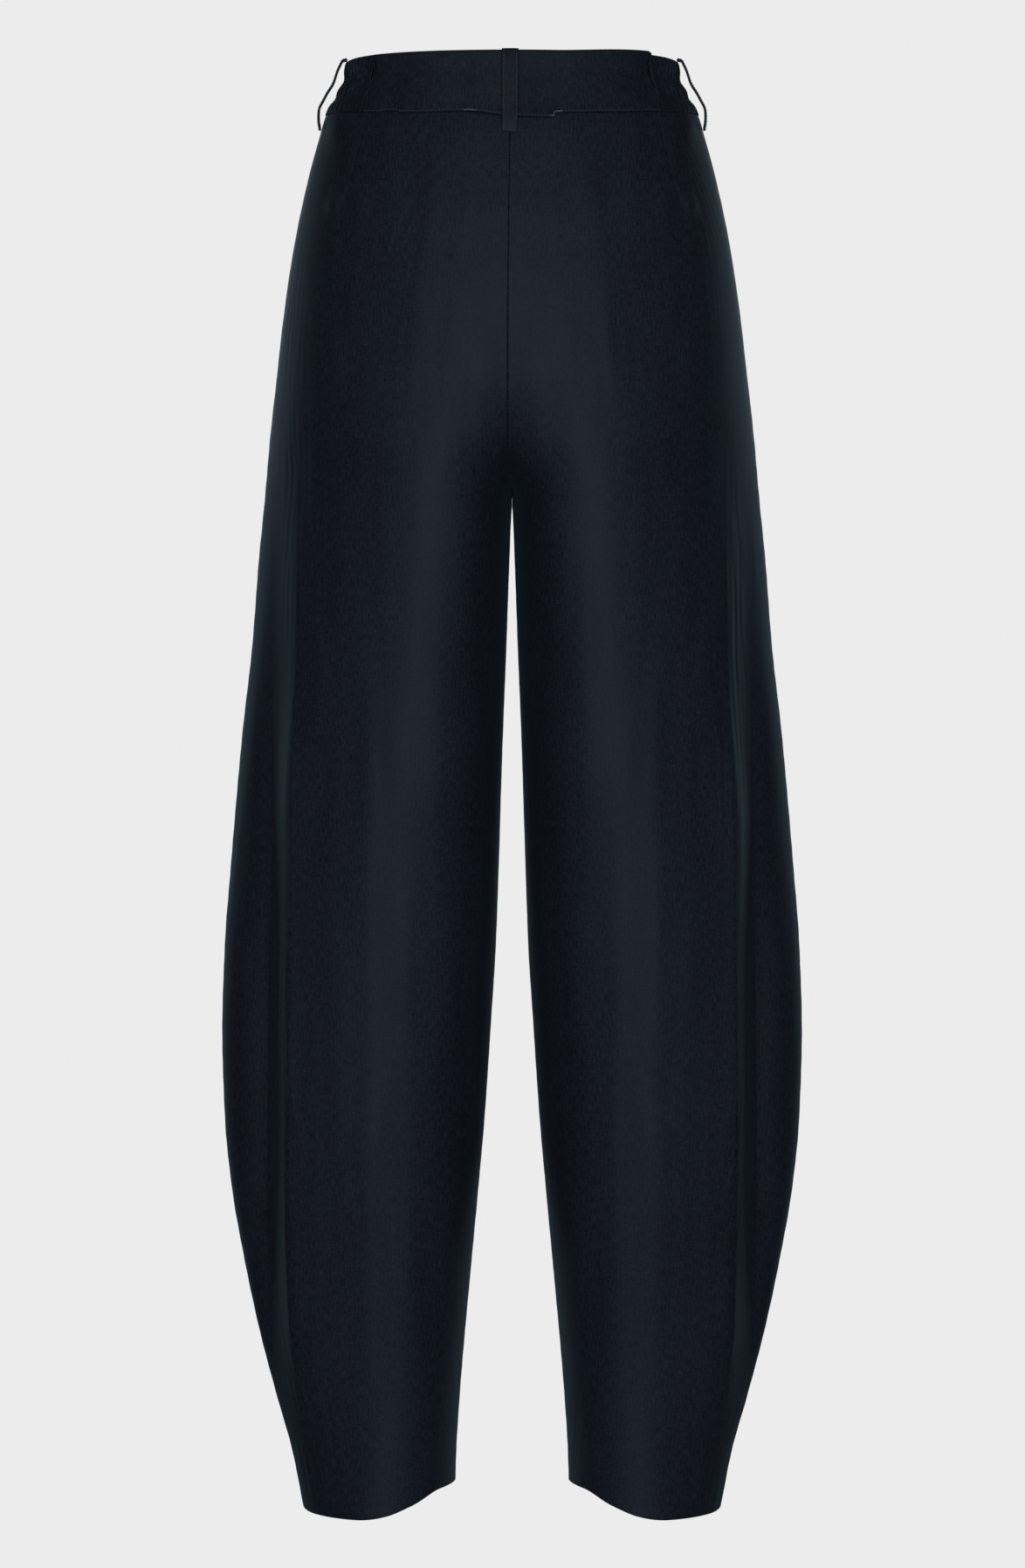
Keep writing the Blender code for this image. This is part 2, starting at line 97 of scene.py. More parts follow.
# The long fold down each barrel leg
Fold = namedtuple("Fold", "height share line")
FOLDS = [
    Fold(-0.260, 0.00, 0.1500),
    Fold(-0.320, 0.10, 0.1510),
    Fold(-0.440, 0.20, 0.1520),
    Fold(-0.560, 0.26, 0.1530),
    Fold(-0.690, 0.33, 0.1550),
    Fold(-0.800, 0.38, 0.1560),
    Fold(-0.880, 0.37, 0.1545),
    Fold(-0.940, 0.22, 0.1500),
    Fold(-0.990, 0.00, 0.1460),
]
FOLD_STEP = 0.0170
WING_WIDTH = 0.036
WING_RISE = 0.25

# Soft creases: crests and troughs that run down the cloth from (x, z) at the top to (x, z) at the
# foot. "bow" is how far the middle lies outwards of the straight line, "rise" is the crest's height,
# and "inner" and "outer" are how far it takes to die away on each side.
Crease = namedtuple("Crease", "x_top z_top x_foot z_foot bow rise inner outer")
BACK_CREASES = [
    Crease(0.1520, -0.400, 0.1465, -0.985, 0.0060, 0.0036, 0.012, 0.0105),
    Crease(0.0995, -0.380, 0.0985, -0.980, 0.0010, 0.0036, 0.012, 0.022),
    Crease(0.0740, -0.400, 0.0690, -0.950, 0.0030, 0.0015, 0.012, 0.010),
    Crease(0.0520, -0.300, 0.0540, -0.820, -0.0020, 0.0014, 0.010, 0.012),
    Crease(0.0340, -0.520, 0.0480, -0.930, 0.0040, 0.0010, 0.008, 0.010),
    Crease(0.1230, -0.440, 0.1180, -0.860, 0.0020, 0.0009, 0.008, 0.012),
    Crease(0.1380, -0.560, 0.1330, -0.960, 0.0020, 0.0008, 0.008, 0.008),
    Crease(0.0560, -0.045, 0.0750, -0.250, -0.0030, 0.0010, 0.007, 0.006),
    Crease(0.0270, -0.045, 0.0560, -0.330, -0.0040, 0.0011, 0.007, 0.007),
    Crease(0.0080, -0.110, 0.0200, -0.250, 0.0020, 0.0005, 0.006, 0.008),
    Crease(0.0850, -0.050, 0.0920, -0.200, 0.0020, 0.0004, 0.006, 0.007),
    Crease(0.1260, -0.420, 0.1240, -0.520, 0.0000, 0.0005, 0.005, 0.006),
    Crease(0.0380, -0.230, 0.0330, -0.420, 0.0030, 0.0006, 0.008, 0.010),
    Crease(0.0870, -0.560, 0.0840, -0.980, 0.0010, -0.0004, 0.006, 0.006),
    Crease(0.0620, -0.600, 0.0610, -0.900, 0.0010, -0.0004, 0.006, 0.006),
    Crease(0.1080, -0.300, 0.1120, -0.560, 0.0010, -0.0005, 0.009, 0.009),
]
FRONT_CREASES = [
    Crease(0.1515, -0.420, 0.1460, -0.980, 0.0060, 0.0038, 0.011, 0.0085),
    Crease(0.0920, -0.340, 0.0950, -0.985, 0.0040, 0.0017, 0.012, 0.015),
    Crease(0.0690, -0.450, 0.0700, -0.900, 0.0020, 0.0009, 0.011, 0.010),
    Crease(0.0480, -0.360, 0.0560, -0.850, -0.0030, 0.0010, 0.010, 0.011),
    Crease(0.1190, -0.400, 0.1170, -0.900, 0.0030, 0.0008, 0.009, 0.012),
    Crease(0.1360, -0.600, 0.1320, -0.940, 0.0020, 0.0005, 0.008, 0.008),
    Crease(0.0610, -0.060, 0.0830, -0.300, -0.0020, 0.0006, 0.007, 0.007),
    Crease(0.0430, -0.090, 0.0540, -0.260, -0.0030, 0.0005, 0.007, 0.007),
    Crease(0.0960, -0.050, 0.1010, -0.210, 0.0020, 0.0005, 0.006, 0.008),
    Crease(0.0350, -0.250, 0.0300, -0.450, 0.0030, 0.0007, 0.008, 0.010),
    Crease(0.0820, -0.550, 0.0800, -0.960, 0.0010, -0.0005, 0.007, 0.006),
]
CREST_RADIUS = 0.0030
GRAIN_LINE = 0.085
CREASE_FADE = 0.22

# How the waist seam strays from its even line at the back, by the distance from the centre
Stray = namedtuple("Stray", "x drop")
WAIST_STRAYS = [
    Stray(-0.1150, 0.0006), Stray(-0.0975, 0.0010), Stray(-0.0850, -0.0003), Stray(-0.0770, 0.0007),
    Stray(-0.0340, -0.0017), Stray(-0.0250, -0.0016), Stray(-0.0080, 0.0004), Stray(0.0045, 0.0014),
    Stray(0.0160, 0.0021), Stray(0.0282, 0.0024), Stray(0.0300, -0.0007), Stray(0.0630, -0.0002),
    Stray(0.1050, 0.0004),
]
# How far the seam down the centre back strays to the left
CentreStray = namedtuple("CentreStray", "height left")
CENTRE_STRAYS = [
    CentreStray(-0.020, 0.0015), CentreStray(-0.060, 0.0018), CentreStray(-0.130, 0.0027),
    CentreStray(-0.200, 0.0030), CentreStray(-0.270, 0.0030), CentreStray(-0.300, 0.0),
]
TOP_RISE = 0.0026
TOP_RISE_START, TOP_RISE_END = 0.030, 0.098
TOP_STEP_START, TOP_STEP_END = 34.9, 35.25
WAIST_TUCK = 0.0018

# Sewing and cloth sizes
CLOTH = 0.0009
SEAM_ROLL = 0.0008
WAIST_ROLL = 0.0014
# The rows in which each panel turns up behind the waistband, and how much deeper it lies there
SEAM_TURN = np.array([0.0022, 0.0015, 0.0008, 0.0003])
SEAM_SINK = 0.0006
HEM_DEPTH = 0.028
HEM_LAYER = 0.0009
BAND_THICKNESS, BAND_HEIGHT = 0.0022, 0.046
ELASTIC_THICKNESS = 0.0032
STRAP_WIDTH, STRAP_THICKNESS = 0.0118, 0.0017
FLY_THICKNESS = 0.0009

# The gathered elastic
ELASTIC_FRONT = -14
ELASTIC_BACK = 36
GATHERS = 13
GATHER_HEIGHT = 0.0013
GATHER_WIDTH = 0.13
FLAT_STRIP = 5.0
Bulge = namedtuple("Bulge", "share out")
ELASTIC_BULGES = [
    Bulge(0.00, 0.0002), Bulge(0.16, 0.0008), Bulge(0.30, -0.0004), Bulge(0.46, 0.0009),
    Bulge(0.66, -0.0006), Bulge(0.84, 0.0002), Bulge(1.00, 0.0000),
]
SeamTurn = namedtuple("SeamTurn", "share angle")
ELASTIC_SEAM = [SeamTurn(0.0, 2.6), SeamTurn(0.45, 0.9), SeamTurn(0.75, 1.3), SeamTurn(1.0, -0.8)]

# Belt loops
Strap = namedtuple("Strap", "height stand_off")
SIDE_LOOP = [
    Strap(0.0140, -0.0004), Strap(0.0136, 0.0021), Strap(0.0110, 0.0034), Strap(0.0060, 0.0052),
    Strap(-0.0020, 0.0066), Strap(-0.0101, 0.0073), Strap(-0.0184, 0.0067), Strap(-0.0246, 0.0045),
    Strap(-0.0297, 0.0026), Strap(-0.0330, 0.0011), Strap(-0.0352, 0.0003),
]
FLAT_LOOP = [
    Strap(0.0136, 0.0008), Strap(0.0118, 0.0014), Strap(0.0070, 0.0026), Strap(-0.0060, 0.0032),
    Strap(-0.0220, 0.0030), Strap(-0.0340, 0.0022), Strap(-0.0420, 0.0011), Strap(-0.0462, 0.0003),
]
SIDE_LOOP_ANGLE, BACK_LOOP_ANGLE, FRONT_LOOP_ANGLE = 3, 90, -50
BACK_LOOP_SHIFT, BACK_LOOP_SLANT = -0.0013, -0.0012
FOOT_LEAN = 0.7
STITCH_INSET = 0.0014

# The front opening
TAB_END = -0.018
TAB_RISE_START, TAB_RISE_END = 0.024, 0.008
UNDERLAP_END = 0.001
FLY_LEFT, FLY_RIGHT = -0.005, 0.032
FLY_FOOT, FLY_ROUND, FLY_TIP = -0.175, 0.040, 0.12


def curve_through(xs, ys, x):
    """A smooth curve through a table's points that doesn't overshoot them and is level at both ends."""
    xs, ys = np.asarray(xs, float), np.asarray(ys, float)
    x = np.clip(np.asarray(x, float), xs[0], xs[-1])
    i = np.clip(np.searchsorted(xs, x, side="right") - 1, 0, len(xs) - 2)
    steps = np.diff(ys) / np.diff(xs)
    slopes = np.zeros(len(xs))
    before, after = steps[:-1], steps[1:]
    same_way = before * after > 0
    slopes[1:-1][same_way] = 2 * (before * after)[same_way] / (before + after)[same_way]
    span = xs[i + 1] - xs[i]
    t = (x - xs[i]) / span
    return (
        (2 * t**3 - 3 * t**2 + 1) * ys[i]
        + (t**3 - 2 * t**2 + t) * span * slopes[i]
        + (3 * t**2 - 2 * t**3) * ys[i + 1]
        + (t**3 - t**2) * span * slopes[i + 1]
    )


def look_up(table, known, wanted, value):
    rows = sorted(table, key=lambda row: getattr(row, known))
    return curve_through([getattr(r, known) for r in rows], [getattr(r, wanted) for r in rows], value)


def ease(value, start, end):
    t = np.clip((np.asarray(value, float) - start) / (end - start), 0, 1)
    return t * t * (3 - 2 * t)


def run_along(points):
    """The distance from the first point to each of a row of points."""
    return np.concatenate([[0.0], np.cumsum(np.linalg.norm(np.diff(points, axis=0), axis=1))])


def at_runs(wanted, run, points):
    """The points at the wanted distances along a row of points."""
    return np.stack([np.interp(wanted, run, points[:, k]) for k in range(3)], axis=-1)


def power(value, exponent):
    return np.sign(value) * np.abs(value) ** exponent


def sizes(height):
    return Section(height, *(look_up(SECTIONS, "height", f, height) for f in Section._fields[1:]))


def fold(x, height):
    line = look_up(FOLDS, "height", "line", height)
    share = look_up(FOLDS, "height", "share", height)
    step = 0.6 * np.clip((x - line) / FOLD_STEP, 0, 1) + 0.4 * ease(x - line, 0, FOLD_STEP)
    wing = ease(x - line, FOLD_STEP, WING_WIDTH)
    return 1 - share * step * (1 - WING_RISE * wing)


def section_xy(angle, height):
    """The cloth's outer face on the right half, at angles in degrees and heights."""
    angle, height = np.broadcast_arrays(np.asarray(angle, float), np.asarray(height, float))
    s = sizes(height)
    cos, sin = np.cos(np.radians(angle)), np.sin(np.radians(angle))
    reach = np.where(cos >= 0, s.outer - s.ridge, s.ridge - s.inner)
    fullness = np.where(cos >= 0, s.side_fullness, s.fullness)
    depth = np.where(sin >= 0, s.back, s.front)
    x = s.ridge + reach * power(cos, 2 / fullness)
    y = -depth * power(sin, 2 / fullness) * fold(x, height)
    return x, y


def from_side(angle):
    angle = np.asarray(angle, float)
    return np.where(np.abs(angle) <= 90, angle, np.sign(angle) * (180 - np.abs(angle)))


def round_section(angle, height):
    ax, ay = section_xy(np.asarray(angle) + 1, height)
    bx, by = section_xy(np.asarray(angle) - 1, height)
    return (ax - bx) / 2, (ay - by) / 2


def outward(angle, height):
    dx, dy = round_section(angle, height)
    length = np.hypot(dx, dy)
    return -dy / length, dx / length


def waist_stray(angle, side, tuck=0.0):
    """The waist seam's straying, at the back alone. side is 1 for the right half and -1 for the left. tuck
    carries the higher side of a step on under the waistband, by that distance."""
    x, _y = section_xy(angle, -0.03)
    around = (-tuck, 0, tuck)
    drop = np.minimum.reduce([look_up(WAIST_STRAYS, "x", "drop", side * x + part) for part in around])
    return -drop * ease(from_side(angle), 25, 40)


def cloth_xyz(angle, level, side):
    near_waist = 1 - ease(WAIST_LEVEL - level, 0, WAIST_FADE)
    near_hem = 1 - ease(level - HEM_LEVEL, 0, HEM_FADE)
    seam = look_up(WAIST_SEAM, "angle", "height", from_side(angle))
    closer = 1 - ease(WAIST_LEVEL - level, 0, 0.020)
    hem = look_up(HEM, "angle", "height", angle)
    height = level + near_waist * (seam - WAIST_LEVEL) + near_hem * (hem - HEM_LEVEL)
    height = height + closer * waist_stray(angle, side, WAIST_TUCK)
    x, y = section_xy(angle, height)
    return np.stack(np.broadcast_arrays(x, y, height), axis=-1)


def side_edge(level, towards):
    angle = look_up(SIDE_SEAM, "height", "angle", level)
    dx, dy = round_section(angle, level)
    return angle + towards * SEAM_GAP / 2 / np.hypot(dx, dy)


def inner_edge(level, towards):
    s = sizes(level)
    depth = s.back if towards > 0 else s.front
    inseam = 180 - np.degrees(np.arcsin((SEAM_GAP / 2 / depth) ** (s.fullness / 2)))
    share = (SEAM_GAP / 2 - s.ridge) / (s.ridge - s.inner)
    cut = np.degrees(np.arccos(np.clip(power(share, s.fullness / 2), -1, 1)))
    centre = np.where(share > -1, cut, inseam)
    return towards * np.minimum(centre, inseam)


# Rows and columns of a leg panel
LIP_STEPS = np.array([0.0, 0.0006, 0.0014, 0.0025, 0.0040, 0.0062, 0.0095])


def panel_columns():
    edge = LIP_STEPS
    fine = np.linspace(0.145, 0.315, 88)
    outer = np.linspace(edge[-1], fine[0], 14)[1:-1]
    inner = np.linspace(fine[-1], 1 - edge[-1], 64)[1:-1]
    return np.concatenate([edge, outer, fine, inner, 1 - edge[::-1]])


def panel_levels():
    lips = np.array([0.0, 0.0002, 0.0005, 0.0009, 0.0015, 0.0026, 0.0045, 0.0075])
    crotch_top = CROTCH_HEIGHT + CROTCH_ZONE
    hip = np.linspace(WAIST_LEVEL - 0.011, crotch_top, 46)
    crotch = CROTCH_HEIGHT + CROTCH_ZONE * (1 - np.linspace(0, 1, 34)) ** 2
    below = CROTCH_HEIGHT - 0.018 * np.linspace(0, 1, 10)[1:] ** 1.5
    leg = np.linspace(below[-1], HEM_LEVEL + HEM_DEPTH + 0.004, 132)
    hem_top = HEM_LEVEL + HEM_DEPTH
    turn = np.array([hem_top + 0.0008, hem_top, hem_top - 0.0004, hem_top - 0.0012, hem_top - 0.003])
    hem = np.linspace(turn[-1], HEM_LEVEL + 0.0045, 8)
    ends = HEM_LEVEL + lips[::-1][2:]
    waist = np.concatenate([WAIST_LEVEL + SEAM_TURN, WAIST_LEVEL - lips])
    return np.concatenate([waist, hip, crotch[1:], below, leg[1:], turn, hem[1:], ends])


def lip(distance, radius):
    """How far a rolled edge has turned in, at a distance from the edge."""
    left = np.clip(radius - distance, 0, radius)
    return radius - np.sqrt(np.maximum(radius**2 - left**2, 0))


def crease_heights(x, z, creases, side):
    total = np.zeros_like(x)
    for i, c in enumerate(creases):
        t = (c.z_top - z) / (c.z_top - c.z_foot)
        shift = 0.0012 * np.sin(2.4 * i + 1.1) * (side < 0) + 0.0009 * np.sin(z * 31 + i * 1.7)
        line = c.x_top + (c.x_foot - c.x_top) * t + c.bow * 4 * t * (1 - t) + shift
        off = np.abs(x) - line
        width = np.where(off < 0, c.inner, c.outer)
        shape = np.exp(-(np.sqrt(off**2 + CREST_RADIUS**2) - CREST_RADIUS) / width)
        ends = ease(t, 0, CREASE_FADE) * (1 - ease(t, 1 - CREASE_FADE, 1))
        uneven = 1 + 0.30 * np.sin(z * 23 + 2.1 * i + side) * np.sin(z * 9.1 + i)
        total += c.rise * shape * ends * uneven
    return total


def small_waves(u, z, seed):
    """The cloth's own slight unevenness: long upright waves a few tenths of a millimetre high."""
    total = np.zeros_like(u)
    draw = np.random.default_rng(seed)
    for _ in range(16):
        across = draw.uniform(45, 150)
        down = draw.uniform(2, 12)
        total += np.sin(2 * np.pi * (across * u + down * z * draw.choice([-1, 1])) + draw.uniform(0, 6.28))
    strength = 0.5 + 0.5 * np.sin(z * 17 + u * 40 + seed)
    return total / 4 * strength


# A dart down each half of the back: its line, and the dimple at its foot
Dart = namedtuple("Dart", "height x")
DART = [Dart(-0.020, 0.1010), Dart(-0.0410, 0.1046), Dart(-0.0790, 0.1130), Dart(-0.0930, 0.1165)]


def dart(x, z):
    line = look_up(DART, "height", "x", z)
    off = np.abs(x) - line
    window = ease(z, -0.094, -0.078)
    groove = -0.0019 * np.exp(-((off / 0.0008) ** 2)) * window
    step = 0.0007 * (1 / (1 + np.exp(off / 0.0005))) * np.exp(-((off / 0.008) ** 2)) * window
    dimple = np.zeros_like(x)
    for at_x, at_z, rise, wide, tall in (
        (0.1180, -0.0935, -0.0026, 0.0034, 0.0050),
        (0.1065, -0.0935, 0.0020, 0.0055, 0.0090),
        (0.1255, -0.0945, 0.0018, 0.0042, 0.0080),
        (0.1240, -0.0380, 0.0016, 0.0060, 0.0110),
        (0.1120, -0.0370, -0.0010, 0.0050, 0.0060),
    ):
        dimple += rise * np.exp(-(((np.abs(x) - at_x) / wide) ** 2) - ((z - at_z) / tall) ** 2)
    return groove + step + dimple


def grid_normals(points):
    """Outward unit normals of a grid of points that runs down in its first index."""
    down = np.gradient(points, axis=0)
    along = np.gradient(points, axis=1)
    normal = np.cross(along, down)
    length = np.linalg.norm(normal, axis=-1, keepdims=True)
    return normal / np.maximum(length, 1e-12)


def new_object(name, data):
    made = bpy.data.objects.new(name, data)
    bpy.context.scene.collection.objects.link(made)
    return made


def mesh_from(name, points, faces, uvs=None, material=None):
    mesh = bpy.data.meshes.new(name)
    face_list = faces.tolist() if hasattr(faces, "tolist") else faces
    mesh.from_pydata(points.reshape(-1, 3).tolist(), [], face_list)
    if uvs is not None:
        layer = mesh.uv_layers.new(name="UVMap")
        index = np.zeros(len(mesh.loops), np.int32)
        mesh.loops.foreach_get("vertex_index", index)
        layer.data.foreach_set("uv", uvs.reshape(-1, 2)[index].astype(np.float32).ravel())
    mesh.shade_smooth()
    if material is not None:
        mesh.materials.append(material)
    piece = new_object(name, mesh)
    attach(piece, "root")
    return piece


def grid_faces(rows, columns, first=0, flip=False):
    r, c = np.meshgrid(np.arange(rows - 1), np.arange(columns - 1), indexing="ij")
    a = (r * columns + c).ravel() + first
    quads = np.stack([a, a + 1, a + columns + 1, a + columns], axis=1)
    return quads[:, ::-1] if flip else quads


def shell(name, outer, inner, uvs, material, flip):
    """A closed piece of cloth between two grids of points."""
    rows, columns = outer.shape[:2]
    count = rows * columns
    index = np.arange(count).reshape(rows, columns)
    rim = np.concatenate([index[0, :-1], index[:-1, -1], index[-1, :0:-1], index[:0:-1, 0]])
    after = np.roll(rim, -1)
    edge = np.stack([rim, rim + count, after + count, after], axis=1)
    if flip:
        edge = edge[:, ::-1]
    outside, inside = grid_faces(rows, columns, 0, flip), grid_faces(rows, columns, count, not flip)
    faces = np.concatenate([outside, inside, edge])
    points = np.concatenate([outer.reshape(-1, 3), inner.reshape(-1, 3)])
    both = np.concatenate([uvs.reshape(-1, 2), uvs.reshape(-1, 2)])
    return mesh_from(name, points, faces, both, material)


def panel(name, towards, side, creases, material, seed):
    levels = panel_levels()
    columns = panel_columns()
    first, last = side_edge(levels, towards), inner_edge(levels, towards)
    sweep = np.linspace(0, 1, 721)
    angles = first[:, None] + (towards * 180.0 - first[:, None]) * sweep
    path = cloth_xyz(angles, levels[:, None], side)
    lengths = np.linalg.norm(np.diff(path, axis=1), axis=-1)
    run = np.concatenate([np.zeros((len(levels), 1)), np.cumsum(lengths, axis=1)], axis=1)
    angle = np.zeros((len(levels), len(columns)))
    along = np.zeros_like(angle)
    reach = np.zeros(len(levels))
    for i in range(len(levels)):
        way = towards * angles[i]
        reach[i] = np.interp(towards * last[i], way, run[i])
        full = run[i, -1]
        crowding = 1 + 2 * ease(reach[i] / full, 0.55, 0.80)
        along[i] = full * columns + (reach[i] - full) * columns**crowding
        angle[i] = towards * np.interp(along[i], run[i], way)
        angle[i, 0], angle[i, -1] = first[i], last[i]
    base = cloth_xyz(angle, levels[:, None], side)
    normal = grid_normals(base) * towards
    down = np.linalg.norm(np.diff(base, axis=0), axis=-1)
    from_waist = np.concatenate([np.zeros((1, len(columns))), np.cumsum(down, axis=0)], axis=0)
    from_hem = from_waist[-1:] - from_waist
    from_waist = np.maximum(from_waist - from_waist[len(SEAM_TURN)], 0)
    from_side_seam, from_inner = along, reach[:, None] - along

    x, z = base[..., 0], base[..., 2]
    height = crease_heights(x, z, creases, side)
    seams = np.minimum(np.minimum(from_side_seam, from_inner), np.minimum(from_waist, from_hem))
    height *= ease(seams, 0, 0.006)
    height += 0.00010 * small_waves(along, z, seed) * ease(seams, 0, 0.004)
    if towards > 0:
        height += dart(x, z)
    pucker = np.exp(-from_side_seam / 0.007) + 0.8 * np.exp(-from_inner / 0.007)
    height += 0.00009 * pucker * np.sin(2 * np.pi * z / 0.019 + 0.7 * np.sin(z * 90) + seed)
    height -= lip(from_side_seam, SEAM_ROLL) + lip(from_waist, WAIST_ROLL) + lip(from_hem, CLOTH)
    # The top edge turns up behind the waistband
    height -= SEAM_SINK * ease(levels - WAIST_LEVEL, 0, SEAM_TURN[2])[:, None]
    # Above the crotch the centre seam rolls in along the middle plane, so that it stays closed
    into_seam = normal.copy()
    into_seam[..., 0] *= 1 - ease(levels, CROTCH_HEIGHT - 0.001, CROTCH_HEIGHT + 0.001)[:, None]
    into_seam /= np.linalg.norm(into_seam, axis=-1, keepdims=True)
    outer = base + normal * height[..., None] - into_seam * lip(from_inner, SEAM_ROLL)[..., None]
    outer[..., 0] = np.maximum(outer[..., 0], SEAM_GAP / 2)

    facing = grid_normals(outer) * towards
    turned = HEM_LAYER * (1 - ease(from_hem, HEM_DEPTH, HEM_DEPTH + 0.0004))
    thick = CLOTH + turned - 1.95 * lip(from_hem, CLOTH) * (turned > 0)
    inner = outer - facing * np.maximum(thick, 0.00004)[..., None]
    inner[..., 0] = np.maximum(inner[..., 0], SEAM_GAP / 2)
    # The cloth's grain runs straight down the middle of the leg
    middle = np.array([np.interp(-GRAIN_LINE, -path[i, :, 0], run[i]) for i in range(len(levels))])
    uvs = np.stack([along - middle[:, None] + 0.5 - 0.2 * towards, z + 1.1], axis=-1)
    for face in (outer, inner):
        face[..., 0] *= side
        if towards > 0:
            stray = look_up(CENTRE_STRAYS, "height", "left", face[..., 2])
            face[..., 0] -= stray * np.exp(-((face[..., 0] / 0.030) ** 2))
    return shell(name, outer, inner, uvs, material, flip=(towards * side < 0))


def band_edges(angle, side):
    """The heights of the waistband's lower and upper edge."""
    low = look_up(WAIST_SEAM, "angle", "height", from_side(angle)) + waist_stray(angle, side) + 0.00010
    high = look_up(BAND_TOP, "angle", "height", from_side(angle))
    x, _y = section_xy(angle, 0.0)
    behind = ease(from_side(angle), TOP_STEP_START, TOP_STEP_END)
    return low, high + TOP_RISE * ease(side * x, TOP_RISE_START, TOP_RISE_END) * behind


def band_xyz(angle, share, out, side):
    low, high = band_edges(angle, side)
    height = low + (high - low) * share
    x, y = section_xy(angle, height)
    ox, oy = outward(angle, height)
    off = BAND_PROUD + out
    return np.stack(np.broadcast_arrays(x + ox * off, y + oy * off, height), axis=-1)


def loft(name, loops, uvs, material):
    """A closed piece through closed loops of points, with its two ends filled."""
    count, size = loops.shape[:2]
    r, c = np.meshgrid(np.arange(count - 1), np.arange(size), indexing="ij")
    a, b = r * size + c, r * size + (c + 1) % size
    quads = np.stack([a, b, b + size, a + size], axis=-1).reshape(-1, 4)
    faces = quads.tolist() + [list(range(size))[::-1], list(range((count - 1) * size, count * size))]
    piece = mesh_from(name, loops, faces, uvs, material)
    return outward_faces(piece)


def outward_faces(piece):
    """Turns a closed piece's faces outwards."""
    mesh = piece.data
    corners = np.zeros(len(mesh.vertices) * 3)
    mesh.vertices.foreach_get("co", corners)
    corners = corners.reshape(-1, 3)
    mesh.calc_loop_triangles()
    triangles = np.zeros(len(mesh.loop_triangles) * 3, np.int32)
    mesh.loop_triangles.foreach_get("vertices", triangles)
    a, b, c = (corners[triangles.reshape(-1, 3)[:, k]] for k in range(3))
    if np.einsum("ij,ij->i", a, np.cross(b, c)).sum() < 0:
        mesh.flip_normals()
    return piece


def band_profile(thickness, rows=26):
    """The waistband's profile, from its lower edge up the outside and down the inside."""
    lips = np.array([0.0, 0.0002, 0.0005, 0.0009, 0.0014]) / BAND_HEIGHT
    middle = np.linspace(lips[-1], 1 - 0.0020 / BAND_HEIGHT, rows)[1:]
    radius = thickness / 2
    turn = np.radians(np.linspace(0, 90, 7))[1:]
    top = 1 - radius * (1 - np.sin(turn)) / BAND_HEIGHT
    top_out = -radius * (1 - np.cos(turn))
    face = np.concatenate([lips, middle])
    share = np.concatenate([face, top, top[-2::-1], face[::-1]])
    out = np.concatenate([
        -lip(face * BAND_HEIGHT, 0.0009),
        top_out,
        -thickness - top_out[-2::-1],
        -thickness + lip(face[::-1] * BAND_HEIGHT, 0.0007),
    ])
    inside = np.concatenate([np.zeros(len(face) + len(top)), np.ones(len(top) - 1 + len(face))])
    return share, out, inside


def band_uvs(run, share, inside):
    """The waistband's cloth coordinates, in metres. The inside lies apart from the outside."""
    down = (1 - share) * BAND_HEIGHT + 0.1 * inside
    return np.stack(np.broadcast_arrays(run[:, None] + 1.2, down), axis=-1)


def band_piece(name, turns, ends, thickness, shape, side, material, proud=0.0):
    """A length of waistband. turns are its columns from 0 to 1, and ends gives the angles of its ends at
    a share of its height. shape gives how far its faces stand out, and proud lifts its folded ends."""
    share, out, inside = band_profile(thickness)
    angle = np.zeros((len(turns), len(share)))
    for j, s in enumerate(share):
        start, end = ends(s)
        angle[:, j] = start + (end - start) * turns
    grid_share = np.broadcast_to(share, angle.shape)
    centre = band_xyz(angle[:, 10:11], 0.5, 0.0, side)[:, 0]
    run = run_along(centre)
    from_end = np.minimum(run, run[-1] - run)[:, None]
    face = (1 - inside)[None, :]
    lift = proud * np.exp(-((from_end / 0.0012) ** 2)) - lip(from_end, 0.0005)
    total = out[None, :] + face * (lift + shape(angle, grid_share))
    loops = band_xyz(angle, grid_share, total, side)
    uvs = band_uvs(run, grid_share, inside)
    if side < 0:
        loops[..., 0] *= -1
    return loft(name, loops, uvs, material)


def angle_at(x, towards):
    s = sizes(0.0)
    return towards * float(np.degrees(np.arccos(power(x / s.outer, s.side_fullness / 2))))


def smooth_ends(count, dense=4):
    """Columns from 0 to 1 that crowd at both ends."""
    t = np.linspace(0, 1, count)
    lips = np.array([0.0005, 0.0012, 0.0025, 0.0045])[:dense]
    return np.unique(np.concatenate([t, lips, 1 - lips]))


def slack(angle, share):
    """The flat waistband isn't quite flat: it dips a little along its length."""
    x, _y = section_xy(angle, 0.0)
    wave = np.sin(x * 190 + 2.0 * share) * np.sin(x * 71 + 1.3) + 0.6 * np.sin(x * 410 - share * 3)
    return 0.00016 * wave * ease(share, 0, 0.15) * (1 - ease(share, 0.85, 1))


